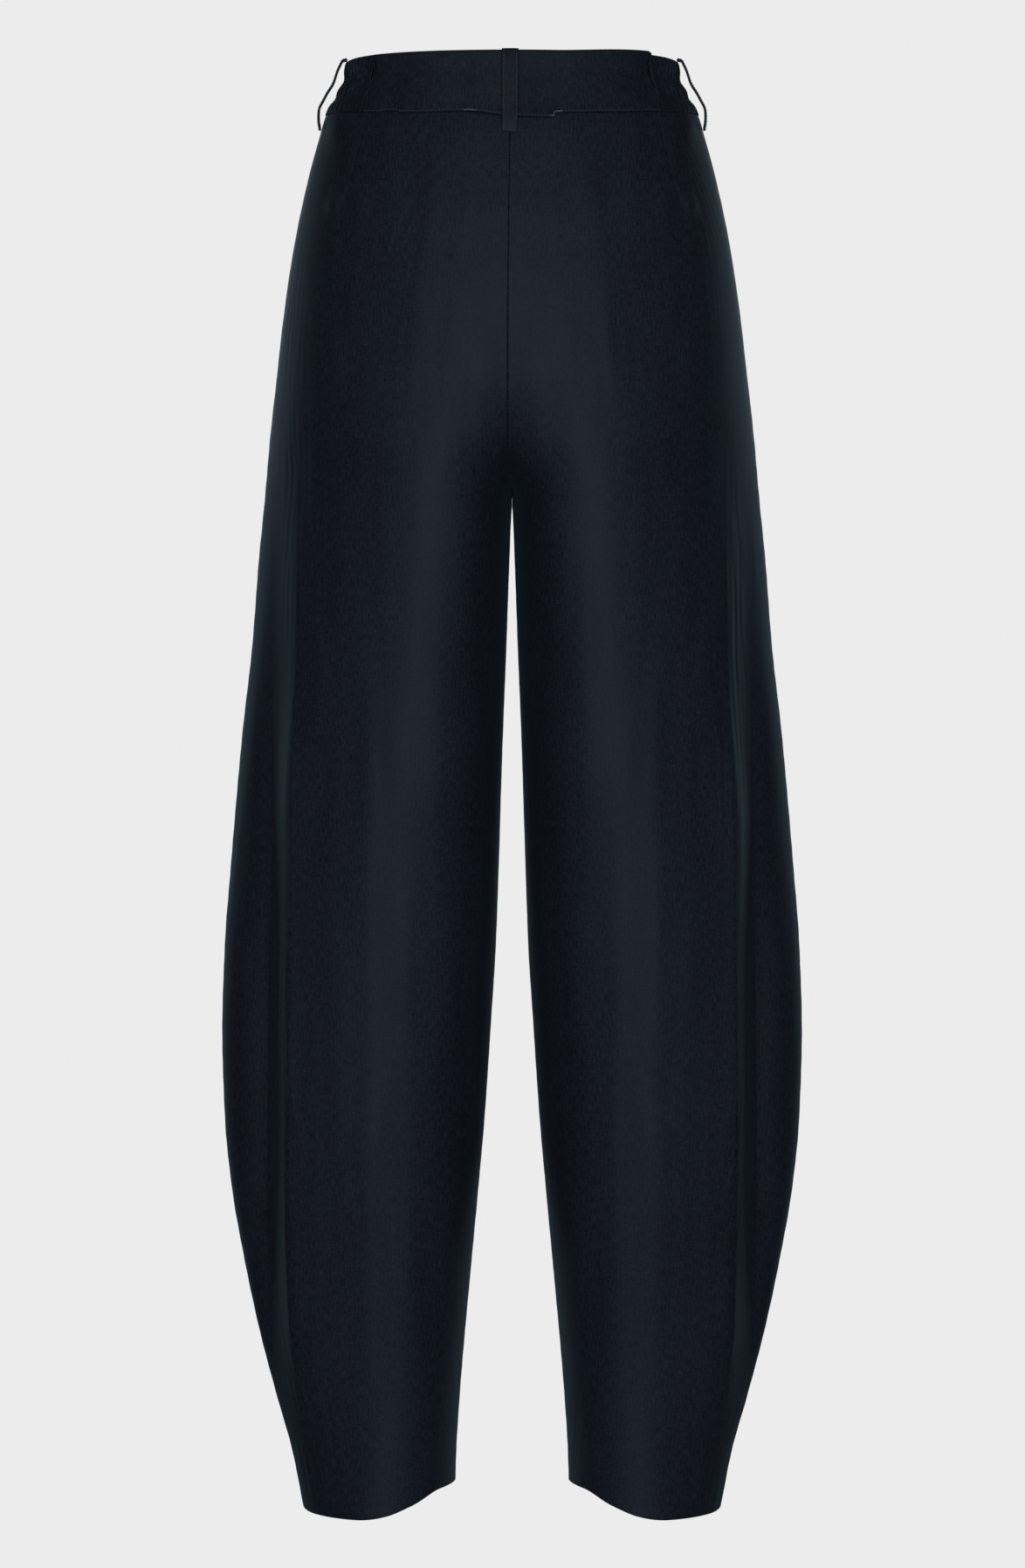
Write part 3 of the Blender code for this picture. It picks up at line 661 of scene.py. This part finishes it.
def gathered(angle, share):
    turn = (angle - ELASTIC_FRONT) / (ELASTIC_BACK - ELASTIC_FRONT)
    lean = 0.55 * np.sin(np.pi * (share - 0.5)) + 0.16 * np.sin(7 * share + 9 * turn)
    phase = GATHERS * turn + lean
    wave = 0.45 - 1.60 * np.exp(-(((phase - np.round(phase)) / GATHER_WIDTH) ** 2))
    uneven = 0.80 + 0.35 * np.sin(turn * 23 + 3 * share) * np.cos(turn * 11 - 2 * share)
    from_end = np.minimum(angle - ELASTIC_FRONT, ELASTIC_BACK - angle)
    gather = ease(from_end, FLAT_STRIP * 0.55, FLAT_STRIP * 1.1)
    fading = 0.25 + 0.75 * ease(share, 0.05, 0.50)
    edge = 1 - 0.55 * ease(share, 0.88, 1.0)
    fine = 0.12 * np.cos(2 * np.pi * (2.3 * GATHERS * turn - lean)) * ease(share, 0.1, 0.4)
    bulge = look_up(ELASTIC_BULGES, "share", "out", share)
    return gather * (bulge + GATHER_HEIGHT * (wave * uneven + fine) * fading * edge)


def tab_rise(angle, share):
    x, _y = section_xy(angle, 0.0)
    return (BAND_THICKNESS + 0.0003) * ease(-x, -TAB_RISE_START, -TAB_RISE_END) + slack(angle, share)


def strap(name, angle, table, side, material, foot_slant=0.0, shift=0.0):
    """A belt loop: a narrow doubled strap, seated at both ends. shift moves it along X."""
    heights = np.array([row.height for row in table])
    # The strap's path is followed by its own length, not by its height
    x, y = section_xy(angle, heights)
    ox, oy = outward(angle, heights)
    offs = np.array([row.stand_off for row in table])
    knots = np.stack([x + ox * offs, y + oy * offs, heights], axis=-1)
    run = run_along(knots)
    s = np.linspace(0, run[-1], 72)
    z = curve_through(run, heights, s)
    off = curve_through(run, offs, s)
    x, y = section_xy(angle, z)
    ox, oy = outward(angle, z)
    out = np.stack([ox, oy, np.zeros_like(ox)], axis=-1)
    path = np.stack([x + shift, y, z], axis=-1) + out * off[:, None]
    tangent = np.gradient(path, axis=0)
    tangent /= np.linalg.norm(tangent, axis=1, keepdims=True)
    across = np.stack([-oy, ox, np.zeros_like(ox)], axis=-1)
    up = np.cross(across, tangent)
    up *= np.sign(np.einsum("ij,ij->i", up, out))[:, None]
    round_edge = STRAP_THICKNESS / 2
    half = STRAP_WIDTH / 2
    flat_part = np.linspace(-half + round_edge, half - round_edge, 13)
    turn = np.radians(np.linspace(-90, 90, 7))[1:-1]
    stitched = -0.00016 * (np.exp(-(((np.abs(flat_part) - half + STITCH_INSET) / 0.0007) ** 2)))
    wide = np.concatenate([
        flat_part, half - round_edge + round_edge * np.cos(turn[::-1]),
        flat_part[::-1], -half + round_edge - round_edge * np.cos(turn[::-1]),
    ])
    tall = np.concatenate([
        round_edge + stitched, round_edge * np.sin(turn[::-1]),
        -round_edge + 0 * flat_part, -round_edge * np.sin(turn[::-1]),
    ])
    ends = 1 - 0.35 * np.exp(-(np.minimum(s, run[-1] - s) / 0.0008))
    lean = foot_slant * (s / run[-1]) ** 3 * FOOT_LEAN
    beside = wide[None, :, None] + lean[:, None, None] * (half + wide)[None, :, None] / half
    loops = (
        path[:, None, :]
        + across[:, None, :] * beside
        + up[:, None, :] * ((tall[None, :] + round_edge) * ends[:, None])[..., None]
    )
    loops[..., 2] += foot_slant * (s / run[-1])[:, None] ** 12 * wide[None, :] / half
    if side < 0:
        loops[..., 0] *= -1
        across = across * [-1, 1, 1]
        up = up * [-1, 1, 1]
        path = path * [-1, 1, 1]
        tangent = tangent * [-1, 1, 1]
    uvs = np.stack(np.broadcast_arrays(wide[None, :] + 2.0, s[:, None] + 0.3), axis=-1)
    piece = loft(name, loops, uvs, material)
    rows = []
    for edge in (-1, 1):
        rows.append((path + across * edge * (half - STITCH_INSET) + up * (2 * round_edge - 0.00006), up))
    return piece, rows


def stitches(name, lines, material, pitch=0.0020, length=0.0014, radius=0.00019, sink=0.0):
    """Short threads along lines of points. Each line has the outward direction at its points."""
    centres, alongs, outs = [], [], []
    for points, normals in lines:
        run = run_along(points)
        count = max(int(run[-1] / pitch), 1)
        at = (np.arange(count) + 0.5) * run[-1] / count
        way = at_runs(at + length / 2, run, points) - at_runs(at - length / 2, run, points)
        centres.append(at_runs(at, run, points))
        alongs.append(way / np.linalg.norm(way, axis=1, keepdims=True))
        outs.append(at_runs(at, run, normals))
    centre, way, out = (np.concatenate(v) for v in (centres, alongs, outs))
    out -= way * np.einsum("ij,ij->i", out, way)[:, None]
    out /= np.linalg.norm(out, axis=1, keepdims=True)
    beside = np.cross(way, out)
    # Each row is a ring of the thread: its place along the stitch, its thickness and its height
    rings = np.array([
        [-0.5, 0.25, -0.9], [-0.42, 0.8, -0.2], [-0.15, 1, 0.5],
        [0.15, 1, 0.5], [0.42, 0.8, -0.2], [0.5, 0.25, -0.9],
    ])
    turn = np.radians(np.arange(6) * 60)
    loops = (
        centre[:, None, None, :]
        + way[:, None, None, :] * (rings[:, 0] * length)[None, :, None, None]
        + beside[:, None, None, :] * (rings[:, 1][:, None] * radius * np.cos(turn))[None, :, :, None]
        + out[:, None, None, :] * (rings[:, 1][:, None] * radius * np.sin(turn)
                                   + rings[:, 2][:, None] * radius * 0.6 - sink)[None, :, :, None]
    )
    number, ring_count, size = loops.shape[:3]
    r, c = np.meshgrid(np.arange(ring_count - 1), np.arange(size), indexing="ij")
    a, b = (r * size + c).ravel(), (r * size + (c + 1) % size).ravel()
    quads = np.stack([a, b, b + size, a + size], axis=1)
    caps = np.array([[0, 5, 4, 3], [0, 3, 2, 1]])
    last = (ring_count - 1) * size
    caps = np.concatenate([caps, np.array([[0, 1, 2, 3], [0, 3, 4, 5]]) + last])
    each = np.concatenate([quads, caps])
    faces = (each[None] + (np.arange(number) * ring_count * size)[:, None, None]).reshape(-1, 4)
    return mesh_from(name, loops, faces, None, material)


def band_line(angles, above, side, out=0.0):
    """A line along the waistband at a height above its lower edge, with its outward directions."""
    low, high = band_edges(angles, side)
    share = above / (high - low)
    points = band_xyz(angles, share, out, side)
    ox, oy = outward(angles, points[..., 2])
    normals = np.stack([ox, oy, np.zeros_like(ox)], axis=-1)
    if side < 0:
        points, normals = points * [-1, 1, 1], normals * [-1, 1, 1]
    return points, normals


def thread(name, points, radius, material):
    """A loose end of thread along a few points."""
    points = np.asarray(points, float)
    s = np.linspace(0, len(points) - 1, 5 * len(points))
    path = np.stack([curve_through(np.arange(len(points)), points[:, k], s) for k in range(3)], axis=-1)
    tangent = np.gradient(path, axis=0)
    tangent /= np.linalg.norm(tangent, axis=1, keepdims=True)
    side = np.cross(tangent, [0.0, -1.0, 0.01])
    side /= np.linalg.norm(side, axis=1, keepdims=True)
    up = np.cross(side, tangent)
    turn = np.radians(np.arange(6) * 60)
    loops = path[:, None, :] + radius * (
        side[:, None, :] * np.cos(turn)[None, :, None] + up[:, None, :] * np.sin(turn)[None, :, None]
    )
    uvs = np.zeros(loops.shape[:2] + (2,))
    return loft(name, loops, uvs, material)


# Materials


def node(tree, kind, inputs=None, **settings):
    """Makes a shader node. An input is given as its value, or as the socket that feeds it."""
    made = tree.nodes.new(kind)
    for key, value in settings.items():
        setattr(made, key, value)
    feed(tree, made, inputs or {})
    return made


def feed(tree, made, inputs):
    for key, value in inputs.items():
        if isinstance(value, bpy.types.NodeSocket):
            tree.links.new(value, made.inputs[key])
        else:
            made.inputs[key].default_value = value


def math_node(tree, operation, first, second):
    return node(tree, "ShaderNodeMath", {0: first, 1: second}, operation=operation).outputs[0]


def noise(tree, vector, scale, stretch, detail, roughness=0.5):
    mapping = node(tree, "ShaderNodeMapping", {"Scale": stretch, "Vector": vector})
    made = node(tree, "ShaderNodeTexNoise", {
        "Scale": scale, "Detail": detail, "Roughness": roughness, "Vector": mapping.outputs[0],
    })
    return made.outputs["Fac"]


def new_material(name):
    material = bpy.data.materials.new(name)
    material.use_nodes = True
    return material, material.node_tree


def cloth_material(name, light, dark, painted_warm_top_light=False, sheen=1.0):
    """A fine twill with a soft sheen. Its texture lies in the cloth's own sizes, in metres."""
    material, tree = new_material(name)
    shader = tree.nodes["Principled BSDF"]
    uv = node(tree, "ShaderNodeUVMap", uv_map="UVMap").outputs["UV"]

    # Twill lines lie steeply across the threads
    mapping = node(tree, "ShaderNodeMapping", {"Rotation": (0, 0, 1.08), "Vector": uv})
    twill = node(tree, "ShaderNodeTexWave", {
        "Scale": 320.0, "Distortion": 1.2, "Detail": 2.0, "Detail Scale": 6.0, "Vector": mapping.outputs[0],
    }, wave_type="BANDS", bands_direction="X", wave_profile="SIN")
    threads = noise(tree, uv, 860.0, (1.0, 0.18, 1.0), 2.0, 0.6)
    cross = noise(tree, uv, 620.0, (0.30, 1.0, 1.0), 3.0, 0.6)
    grain = noise(tree, uv, 900.0, (1.0, 0.8, 1.0), 2.0, 0.7)
    clouds = noise(tree, uv, 42.0, (1.0, 0.22, 1.0), 4.0, 0.55)

    def mix_of(first, *parts):
        """The sum of values, each times its weight."""
        total = math_node(tree, "MULTIPLY", *first)
        for part in parts:
            total = math_node(tree, "ADD", total, math_node(tree, "MULTIPLY", *part))
        return total

    weave = mix_of((twill.outputs["Fac"], 0.10), (threads, 0.90), (cross, 0.35))
    tone = mix_of((weave, 0.60), (clouds, 0.22), (grain, 0.40))
    ramp = node(tree, "ShaderNodeMapRange", {"From Min": 0.61, "From Max": 0.85, "Value": tone})
    colour = node(tree, "ShaderNodeMix", data_type="RGBA")
    feed(tree, colour, {"A": dark, "B": light, "Factor": ramp.outputs[0]})
    result = colour.outputs["Result"]
    # Painted warm light: within about 2 mm of the top edge the outer face is tinted a dark warm brown,
    # standing in for warm light on the band's rounded top edge
    if painted_warm_top_light:
        split = node(tree, "ShaderNodeSeparateXYZ", {0: uv})
        strip = node(tree, "ShaderNodeMapRange", {
            "From Min": 0.0026, "From Max": 0.0018, "Value": split.outputs["Y"],
        }, interpolation_type="SMOOTHSTEP")
        tint = node(tree, "ShaderNodeMix", data_type="RGBA")
        feed(tree, tint, {"B": (0.0200, 0.0135, 0.0125, 1), "Factor": strip.outputs[0], "A": result})
        result = tint.outputs["Result"]
    rough = node(tree, "ShaderNodeMapRange", {
        "From Min": 0.3, "From Max": 0.9, "To Min": 0.58, "To Max": 0.72, "Value": weave,
    })
    bump = node(tree, "ShaderNodeBump", {"Strength": 0.55, "Distance": 0.00010, "Height": weave})
    feed(tree, shader, {
        "Base Color": result,
        "Roughness": rough.outputs[0],
        "Normal": bump.outputs[0],
        "Specular IOR Level": 0.42 * sheen,
        "Specular Tint": (0.64, 0.77, 1.0, 1),
        "Sheen Weight": 0.055 * sheen,
        "Sheen Roughness": 0.35,
        "Sheen Tint": (0.45, 0.80, 1.0, 1),
    })
    return material


def thread_material(name, colour):
    material, tree = new_material(name)
    place = node(tree, "ShaderNodeTexCoord").outputs["Object"]
    strands = noise(tree, place, 2600.0, (1.0, 1.0, 1.0), 2.0)
    blend = node(tree, "ShaderNodeMix", data_type="RGBA")
    low, high = ([v * strength for v in colour] + [1] for strength in (0.55, 1.45))
    feed(tree, blend, {"A": low, "B": high, "Factor": strands})
    bump = node(tree, "ShaderNodeBump", {"Strength": 0.4, "Distance": 0.00005, "Height": strands})
    feed(tree, tree.nodes["Principled BSDF"], {
        "Base Color": blend.outputs["Result"], "Normal": bump.outputs[0], "Roughness": 0.45,
    })
    return material


def plain_glow(name, colour, strength):
    material, tree = new_material(name)
    tree.nodes.clear()
    glow = node(tree, "ShaderNodeEmission", {"Color": colour, "Strength": strength})
    node(tree, "ShaderNodeOutputMaterial", {"Surface": glow.outputs[0]})
    return material


NAVY_LIGHT = (0.0206, 0.0256, 0.0452, 1)
NAVY_DARK = (0.0055, 0.0069, 0.0124, 1)
LOOP_LIGHT = (0.0230, 0.0265, 0.0410, 1)
LOOP_DARK = (0.0095, 0.0112, 0.0175, 1)
ELASTIC_LIGHT = (0.0215, 0.0255, 0.0450, 1)
ELASTIC_DARK = (0.0056, 0.0067, 0.0120, 1)
CLOTH_BODY = cloth_material("navy_twill", NAVY_LIGHT, NAVY_DARK)
# The waistband cloth carries painted warm light along its top edge
CLOTH_BAND = cloth_material("navy_twill_band", NAVY_LIGHT, NAVY_DARK, painted_warm_top_light=True)
CLOTH_LOOP = cloth_material("navy_twill_loops", LOOP_LIGHT, LOOP_DARK)
CLOTH_ELASTIC = cloth_material("navy_twill_elastic", ELASTIC_LIGHT, ELASTIC_DARK, sheen=0.7)
THREAD = thread_material("navy_thread", (0.060, 0.072, 0.100))
LOOP_THREAD = thread_material("loop_thread", (0.085, 0.098, 0.125))
PALE_THREAD = thread_material("pale_thread", (0.26, 0.29, 0.33))


def build_panels():
    made = {}
    for i, (part, towards, creases) in enumerate((("back", 1, BACK_CREASES), ("front", -1, FRONT_CREASES))):
        for side, word in ((1, "right"), (-1, "left")):
            name = f"{part}_panel_{word}"
            piece = panel(name, towards, side, creases, CLOTH_BODY, 11 + 7 * i + side)
            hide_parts(f"{part}_{word}")
            made[name] = piece
    return made


def build_band():
    made = {}

    def seam(share):
        return ELASTIC_BACK + float(look_up(ELASTIC_SEAM, "share", "angle", share))

    # The back length is built as two halves of one loft, since its two sides differ
    share, out, inside = band_profile(BAND_THICKNESS)
    turns = smooth_ends(150)
    angles = np.zeros((len(turns), len(share)))
    for j, s in enumerate(share):
        angles[:, j] = seam(s) + 0.05 + (180 - 2 * seam(s) - 0.10) * turns
    right = angles <= 90
    grid_share = np.broadcast_to(share, angles.shape)
    near = from_side(angles)
    centre_x = np.abs(section_xy(near, 0.0)[0])
    ends = np.array([float(section_xy(seam(s) + 0.05, 0.0)[0]) for s in share])
    from_end = np.abs(ends[None, :] - centre_x)
    total = out[None, :] + (1 - inside)[None, :] * (slack(angles, grid_share) - lip(from_end, 0.0010))
    points_right = band_xyz(near, grid_share, total, 1)
    points_left = band_xyz(near, grid_share, total, -1) * [-1, 1, 1]
    loops = np.where(right[..., None], points_right, points_left)
    run = run_along(loops[:, 12])
    uvs = band_uvs(run, grid_share, inside)
    made["waistband_back"] = loft("waistband_back_cloth", loops, uvs, CLOTH_BAND)

    for side, word in ((1, "right"), (-1, "left")):
        elastic = band_piece(
            f"waistband_elastic_{word}_cloth", smooth_ends(150),
            lambda s: (ELASTIC_FRONT + 0.05, seam(s) - 0.05),
            ELASTIC_THICKNESS, gathered, side, CLOTH_ELASTIC, proud=0.0009,
        )
        made[f"waistband_elastic_{word}"] = elastic
    right_end = angle_at(TAB_END, -1)
    made["waistband_front_right"] = band_piece(
        "waistband_front_right_cloth", smooth_ends(110), lambda s: (ELASTIC_FRONT - 0.05, right_end),
        BAND_THICKNESS, tab_rise, 1, CLOTH_BAND,
    )
    left_end = angle_at(-UNDERLAP_END, -1)
    made["waistband_front_left"] = band_piece(
        "waistband_front_left_cloth", smooth_ends(100), lambda s: (ELASTIC_FRONT - 0.05, left_end),
        BAND_THICKNESS, slack, -1, CLOTH_BAND,
    )
    for node_name, piece in made.items():
        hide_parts(node_name)
    return made


def build_loops():
    made, lines = {}, []
    loops = [("belt_loop_back", BACK_LOOP_ANGLE, FLAT_LOOP, 1, BACK_LOOP_SLANT, BACK_LOOP_SHIFT)]
    for side, word in ((1, "right"), (-1, "left")):
        loops.append((f"belt_loop_side_{word}", SIDE_LOOP_ANGLE, SIDE_LOOP, side, 0.0, 0.0))
        loops.append((f"belt_loop_front_{word}", FRONT_LOOP_ANGLE, FLAT_LOOP, side, 0.0, 0.0))
    for node_name, angle, table, side, slant, shift in loops:
        piece, rows = strap(node_name + "_cloth", angle, table, side, CLOTH_LOOP, slant, shift)
        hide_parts(node_name)
        made[node_name] = piece
        lines += rows
    return made, lines


def fly_angle(x, s):
    turn = (np.abs(x) - s.ridge) / (s.ridge - s.inner)
    beyond = (np.abs(x) - s.ridge) / (s.outer - s.ridge)
    inner = np.arccos(np.clip(power(turn, s.fullness / 2), -1, 1))
    outer = np.arccos(np.clip(power(beyond, s.side_fullness / 2), -1, 1))
    return -np.degrees(np.where(np.abs(x) > s.ridge, outer, inner))


def fly_surface(level, x, out):
    """Points on the front, out from the leg panels, at the same levels and distances as the lap."""
    level, x = np.broadcast_arrays(np.asarray(level, float), np.asarray(x, float))
    angle = fly_angle(x, sizes(level))
    point = cloth_xyz(angle, level, 1)
    ox, oy = outward(angle, point[..., 2])
    point = point + np.stack([ox, oy, np.zeros_like(ox)], axis=-1) * np.asarray(out)[..., None]
    point[..., 0] = np.where(x < 0, -np.abs(point[..., 0]), point[..., 0])
    return point


def build_fly():
    straight = np.linspace(WAIST_LEVEL - 0.0004, FLY_FOOT + FLY_ROUND, 70)[:-1]
    turn = np.radians(np.linspace(0, 90, 30))
    levels = np.concatenate([straight, FLY_FOOT + FLY_ROUND * (1 - np.sin(turn))])
    width = np.concatenate([np.ones(len(straight)), np.maximum(np.cos(turn), FLY_TIP)])
    right = FLY_LEFT + (FLY_RIGHT - FLY_LEFT) * width
    t = smooth_ends(40)
    x = FLY_LEFT + (right[:, None] - FLY_LEFT) * t
    edge = np.minimum((x - FLY_LEFT), (right[:, None] - x))
    edge = np.minimum(edge, (levels - levels[-1])[:, None])
    out = 0.0004 + FLY_THICKNESS - 0.8 * lip(edge, FLY_THICKNESS)
    out = out + 0.00010 * np.sin(levels * 260)[:, None] * np.exp(-edge / 0.004)
    outer = fly_surface(levels[:, None], x, out)
    inner = fly_surface(levels[:, None], x, np.full_like(x, 0.0003))
    uvs = np.stack(np.broadcast_arrays(x + 2.4, levels[:, None] + 1.1), axis=-1)
    piece = shell("fly_lap_cloth", outer, inner, uvs, CLOTH_BODY, flip=False)
    outward_faces(piece)
    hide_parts("fly_lap")
    inset = 0.0060
    path_levels = np.concatenate([straight, (FLY_FOOT + inset) + (FLY_ROUND - inset) * (1 - np.sin(turn))])
    path_x = np.concatenate([np.full(len(straight), 1.0), np.cos(turn)])
    path_x = FLY_LEFT + 0.004 + (FLY_RIGHT - inset - FLY_LEFT - 0.004) * path_x
    line = fly_surface(path_levels, path_x, np.full_like(path_x, 0.0004 + FLY_THICKNESS))
    out_way = np.zeros_like(line)
    out_way[:, 1] = 1.0
    return piece, (line, out_way)


def build_stitching(loop_lines, fly_line):
    """The stitching that shows: above the waist seam, along the belt loops and round the fly lap."""
    waist = []
    arc = np.linspace(ELASTIC_BACK + 3.2, 90, 400)
    for side in (1, -1):
        waist.append(band_line(arc, 0.0013, side))
        waist.append(band_line(np.linspace(-ELASTIC_BACK - 52, ELASTIC_FRONT - 1, 300), 0.0013, side))
    made = {}
    for name, lines, material, sizes_of in (
        ("stitches_waist", waist, THREAD, {"pitch": 0.0024, "length": 0.0014, "radius": 0.00024}),
        ("stitches_loops", loop_lines, LOOP_THREAD, {"pitch": 0.0019, "length": 0.0012, "radius": 0.00024}),
        ("stitches_fly", [fly_line], THREAD, {"pitch": 0.0025, "length": 0.0018}),
    ):
        made[name] = stitches(name, lines, material, **sizes_of)
    return made


def build_marks():
    """Small tacks on the back waistband and two loose ends of thread at its lower edge."""
    tacks = []
    for x, height, half, side in (
        (-0.0394, 0.0022, 0.0007, -1), (-0.0338, 0.0026, 0.0009, -1), (0.0345, 0.0026, 0.0009, 1),
        (0.0394, 0.0020, 0.0007, 1), (0.0210, 0.0053, 0.0004, 1),
    ):
        angle = angle_at(abs(x), 1)
        low, _high = band_edges(angle, side)
        points, normals = band_line(np.full(5, angle), height - low + np.linspace(-half, half, 5), side)
        tacks.append((points, normals))
    marks = stitches("tacks_back", tacks, LOOP_THREAD, pitch=0.0012, length=0.0013, radius=0.00018)
    threads = []
    bends = np.array([0.3, -0.3, 0.4, -0.2, 0.5, -0.4, 0.3, -0.2, 0.1])
    lifts = np.array([0.0, 0.0004, 0.0002, 0.0006, 0.0003, 0.0006, 0.0002, 0.0004, 0.0])
    for name, x, side, bend in (
        ("loose_thread_left", 0.0258, -1, 0.0012), ("loose_thread_right", 0.0270, 1, -0.0016),
    ):
        angle = angle_at(x, 1)
        points, normals = band_line(angle + np.linspace(-1.9, 1.9, 9), 0.0009, side, out=0.0003)
        points[:, 2] += bend * bends
        points += normals * lifts[:, None]
        threads.append(thread(name, points, 0.00018, PALE_THREAD))
    return [marks, *threads]


panels = build_panels()
band = build_band()
loops, loop_lines = build_loops()
fly, fly_line = build_fly()
stitched = build_stitching(loop_lines, fly_line)
marks = build_marks()

# The fields for a cut that shows: its flat size, its area in square metres, how it is held and what goes
# with it
Cut = namedtuple("Cut", "width length area held rests_on with_pieces")

# The floor, the backdrop, the lights and the camera
GREY = 0.8388
pale = plain_glow("pale_backdrop", (GREY, GREY, GREY, 1), 1.0)


def stage_plane(name, corners, material):
    mesh = bpy.data.meshes.new(name)
    mesh.from_pydata(corners, [], [(0, 1, 2, 3)])
    mesh.materials.append(material)
    plane = new_object(name, mesh)
    plane.visible_diffuse = False
    plane.visible_glossy = False
    plane.visible_shadow = False
    return plane


FLOOR = -1.10
stage_plane("floor", [(-6, -6, FLOOR), (6, -6, FLOOR), (6, 6, FLOOR), (-6, 6, FLOOR)], pale)

world = bpy.data.worlds.new("studio")
bpy.context.scene.world = world
world.use_nodes = True
sky = world.node_tree
sky.nodes.clear()
seen = node(sky, "ShaderNodeBackground", {"Color": (GREY, GREY, GREY, 1)})
fill = node(sky, "ShaderNodeBackground", {"Color": (0.80, 0.90, 1.0, 1), "Strength": 0.05})
ray = node(sky, "ShaderNodeLightPath")
choose = node(sky, "ShaderNodeMixShader", {
    "Fac": ray.outputs["Is Camera Ray"], 1: fill.outputs[0], 2: seen.outputs[0],
})
node(sky, "ShaderNodeOutputWorld", {"Surface": choose.outputs[0]})


def area_light(name, place, target, width, height, power_watts, colour):
    light = bpy.data.lights.new(name, "AREA")
    light.shape = "RECTANGLE"
    light.size, light.size_y = width, height
    light.energy = power_watts
    light.color = colour
    lamp = new_object(name, light)
    lamp.location = place
    way = np.asarray(target, float) - np.asarray(place, float)
    lamp.rotation_mode = "QUATERNION"
    lamp.rotation_quaternion = Vector(way).to_track_quat("-Z", "Y")
    return lamp


area_light("key", (0.0, -3.6, -0.1), (0, 0, -0.5), 2.8, 1.6, 55, (1.0, 1.0, 1.0))
area_light("front_fill", (0.0, 3.4, 0.5), (0, 0, -0.5), 2.6, 1.6, 30, (0.95, 0.98, 1.0))
for side in (1, -1):
    area_light(f"strip_{side}", (side * 1.50, 1.78, -0.35), (0, 0, -0.5), 0.5, 1.7, 5.0, (0.60, 0.84, 1.0))

# The camera stands CAMERA_AWAY behind the garment and its picture is VIEW_HEIGHT high there
CAMERA_AWAY, VIEW_HEIGHT = 5.0, 1.119
camera = bpy.data.cameras.new("camera")
camera.sensor_width = 36
camera.lens = 36 * CAMERA_AWAY / VIEW_HEIGHT
camera.clip_start, camera.clip_end = 0.1, 50
eye = new_object("camera", camera)
eye.location = (0.0003, -CAMERA_AWAY, -0.5012)
eye.rotation_euler = (np.pi / 2, 0, 0)
bpy.context.scene.camera = eye
bpy.context.scene.view_settings.view_transform = "Standard"
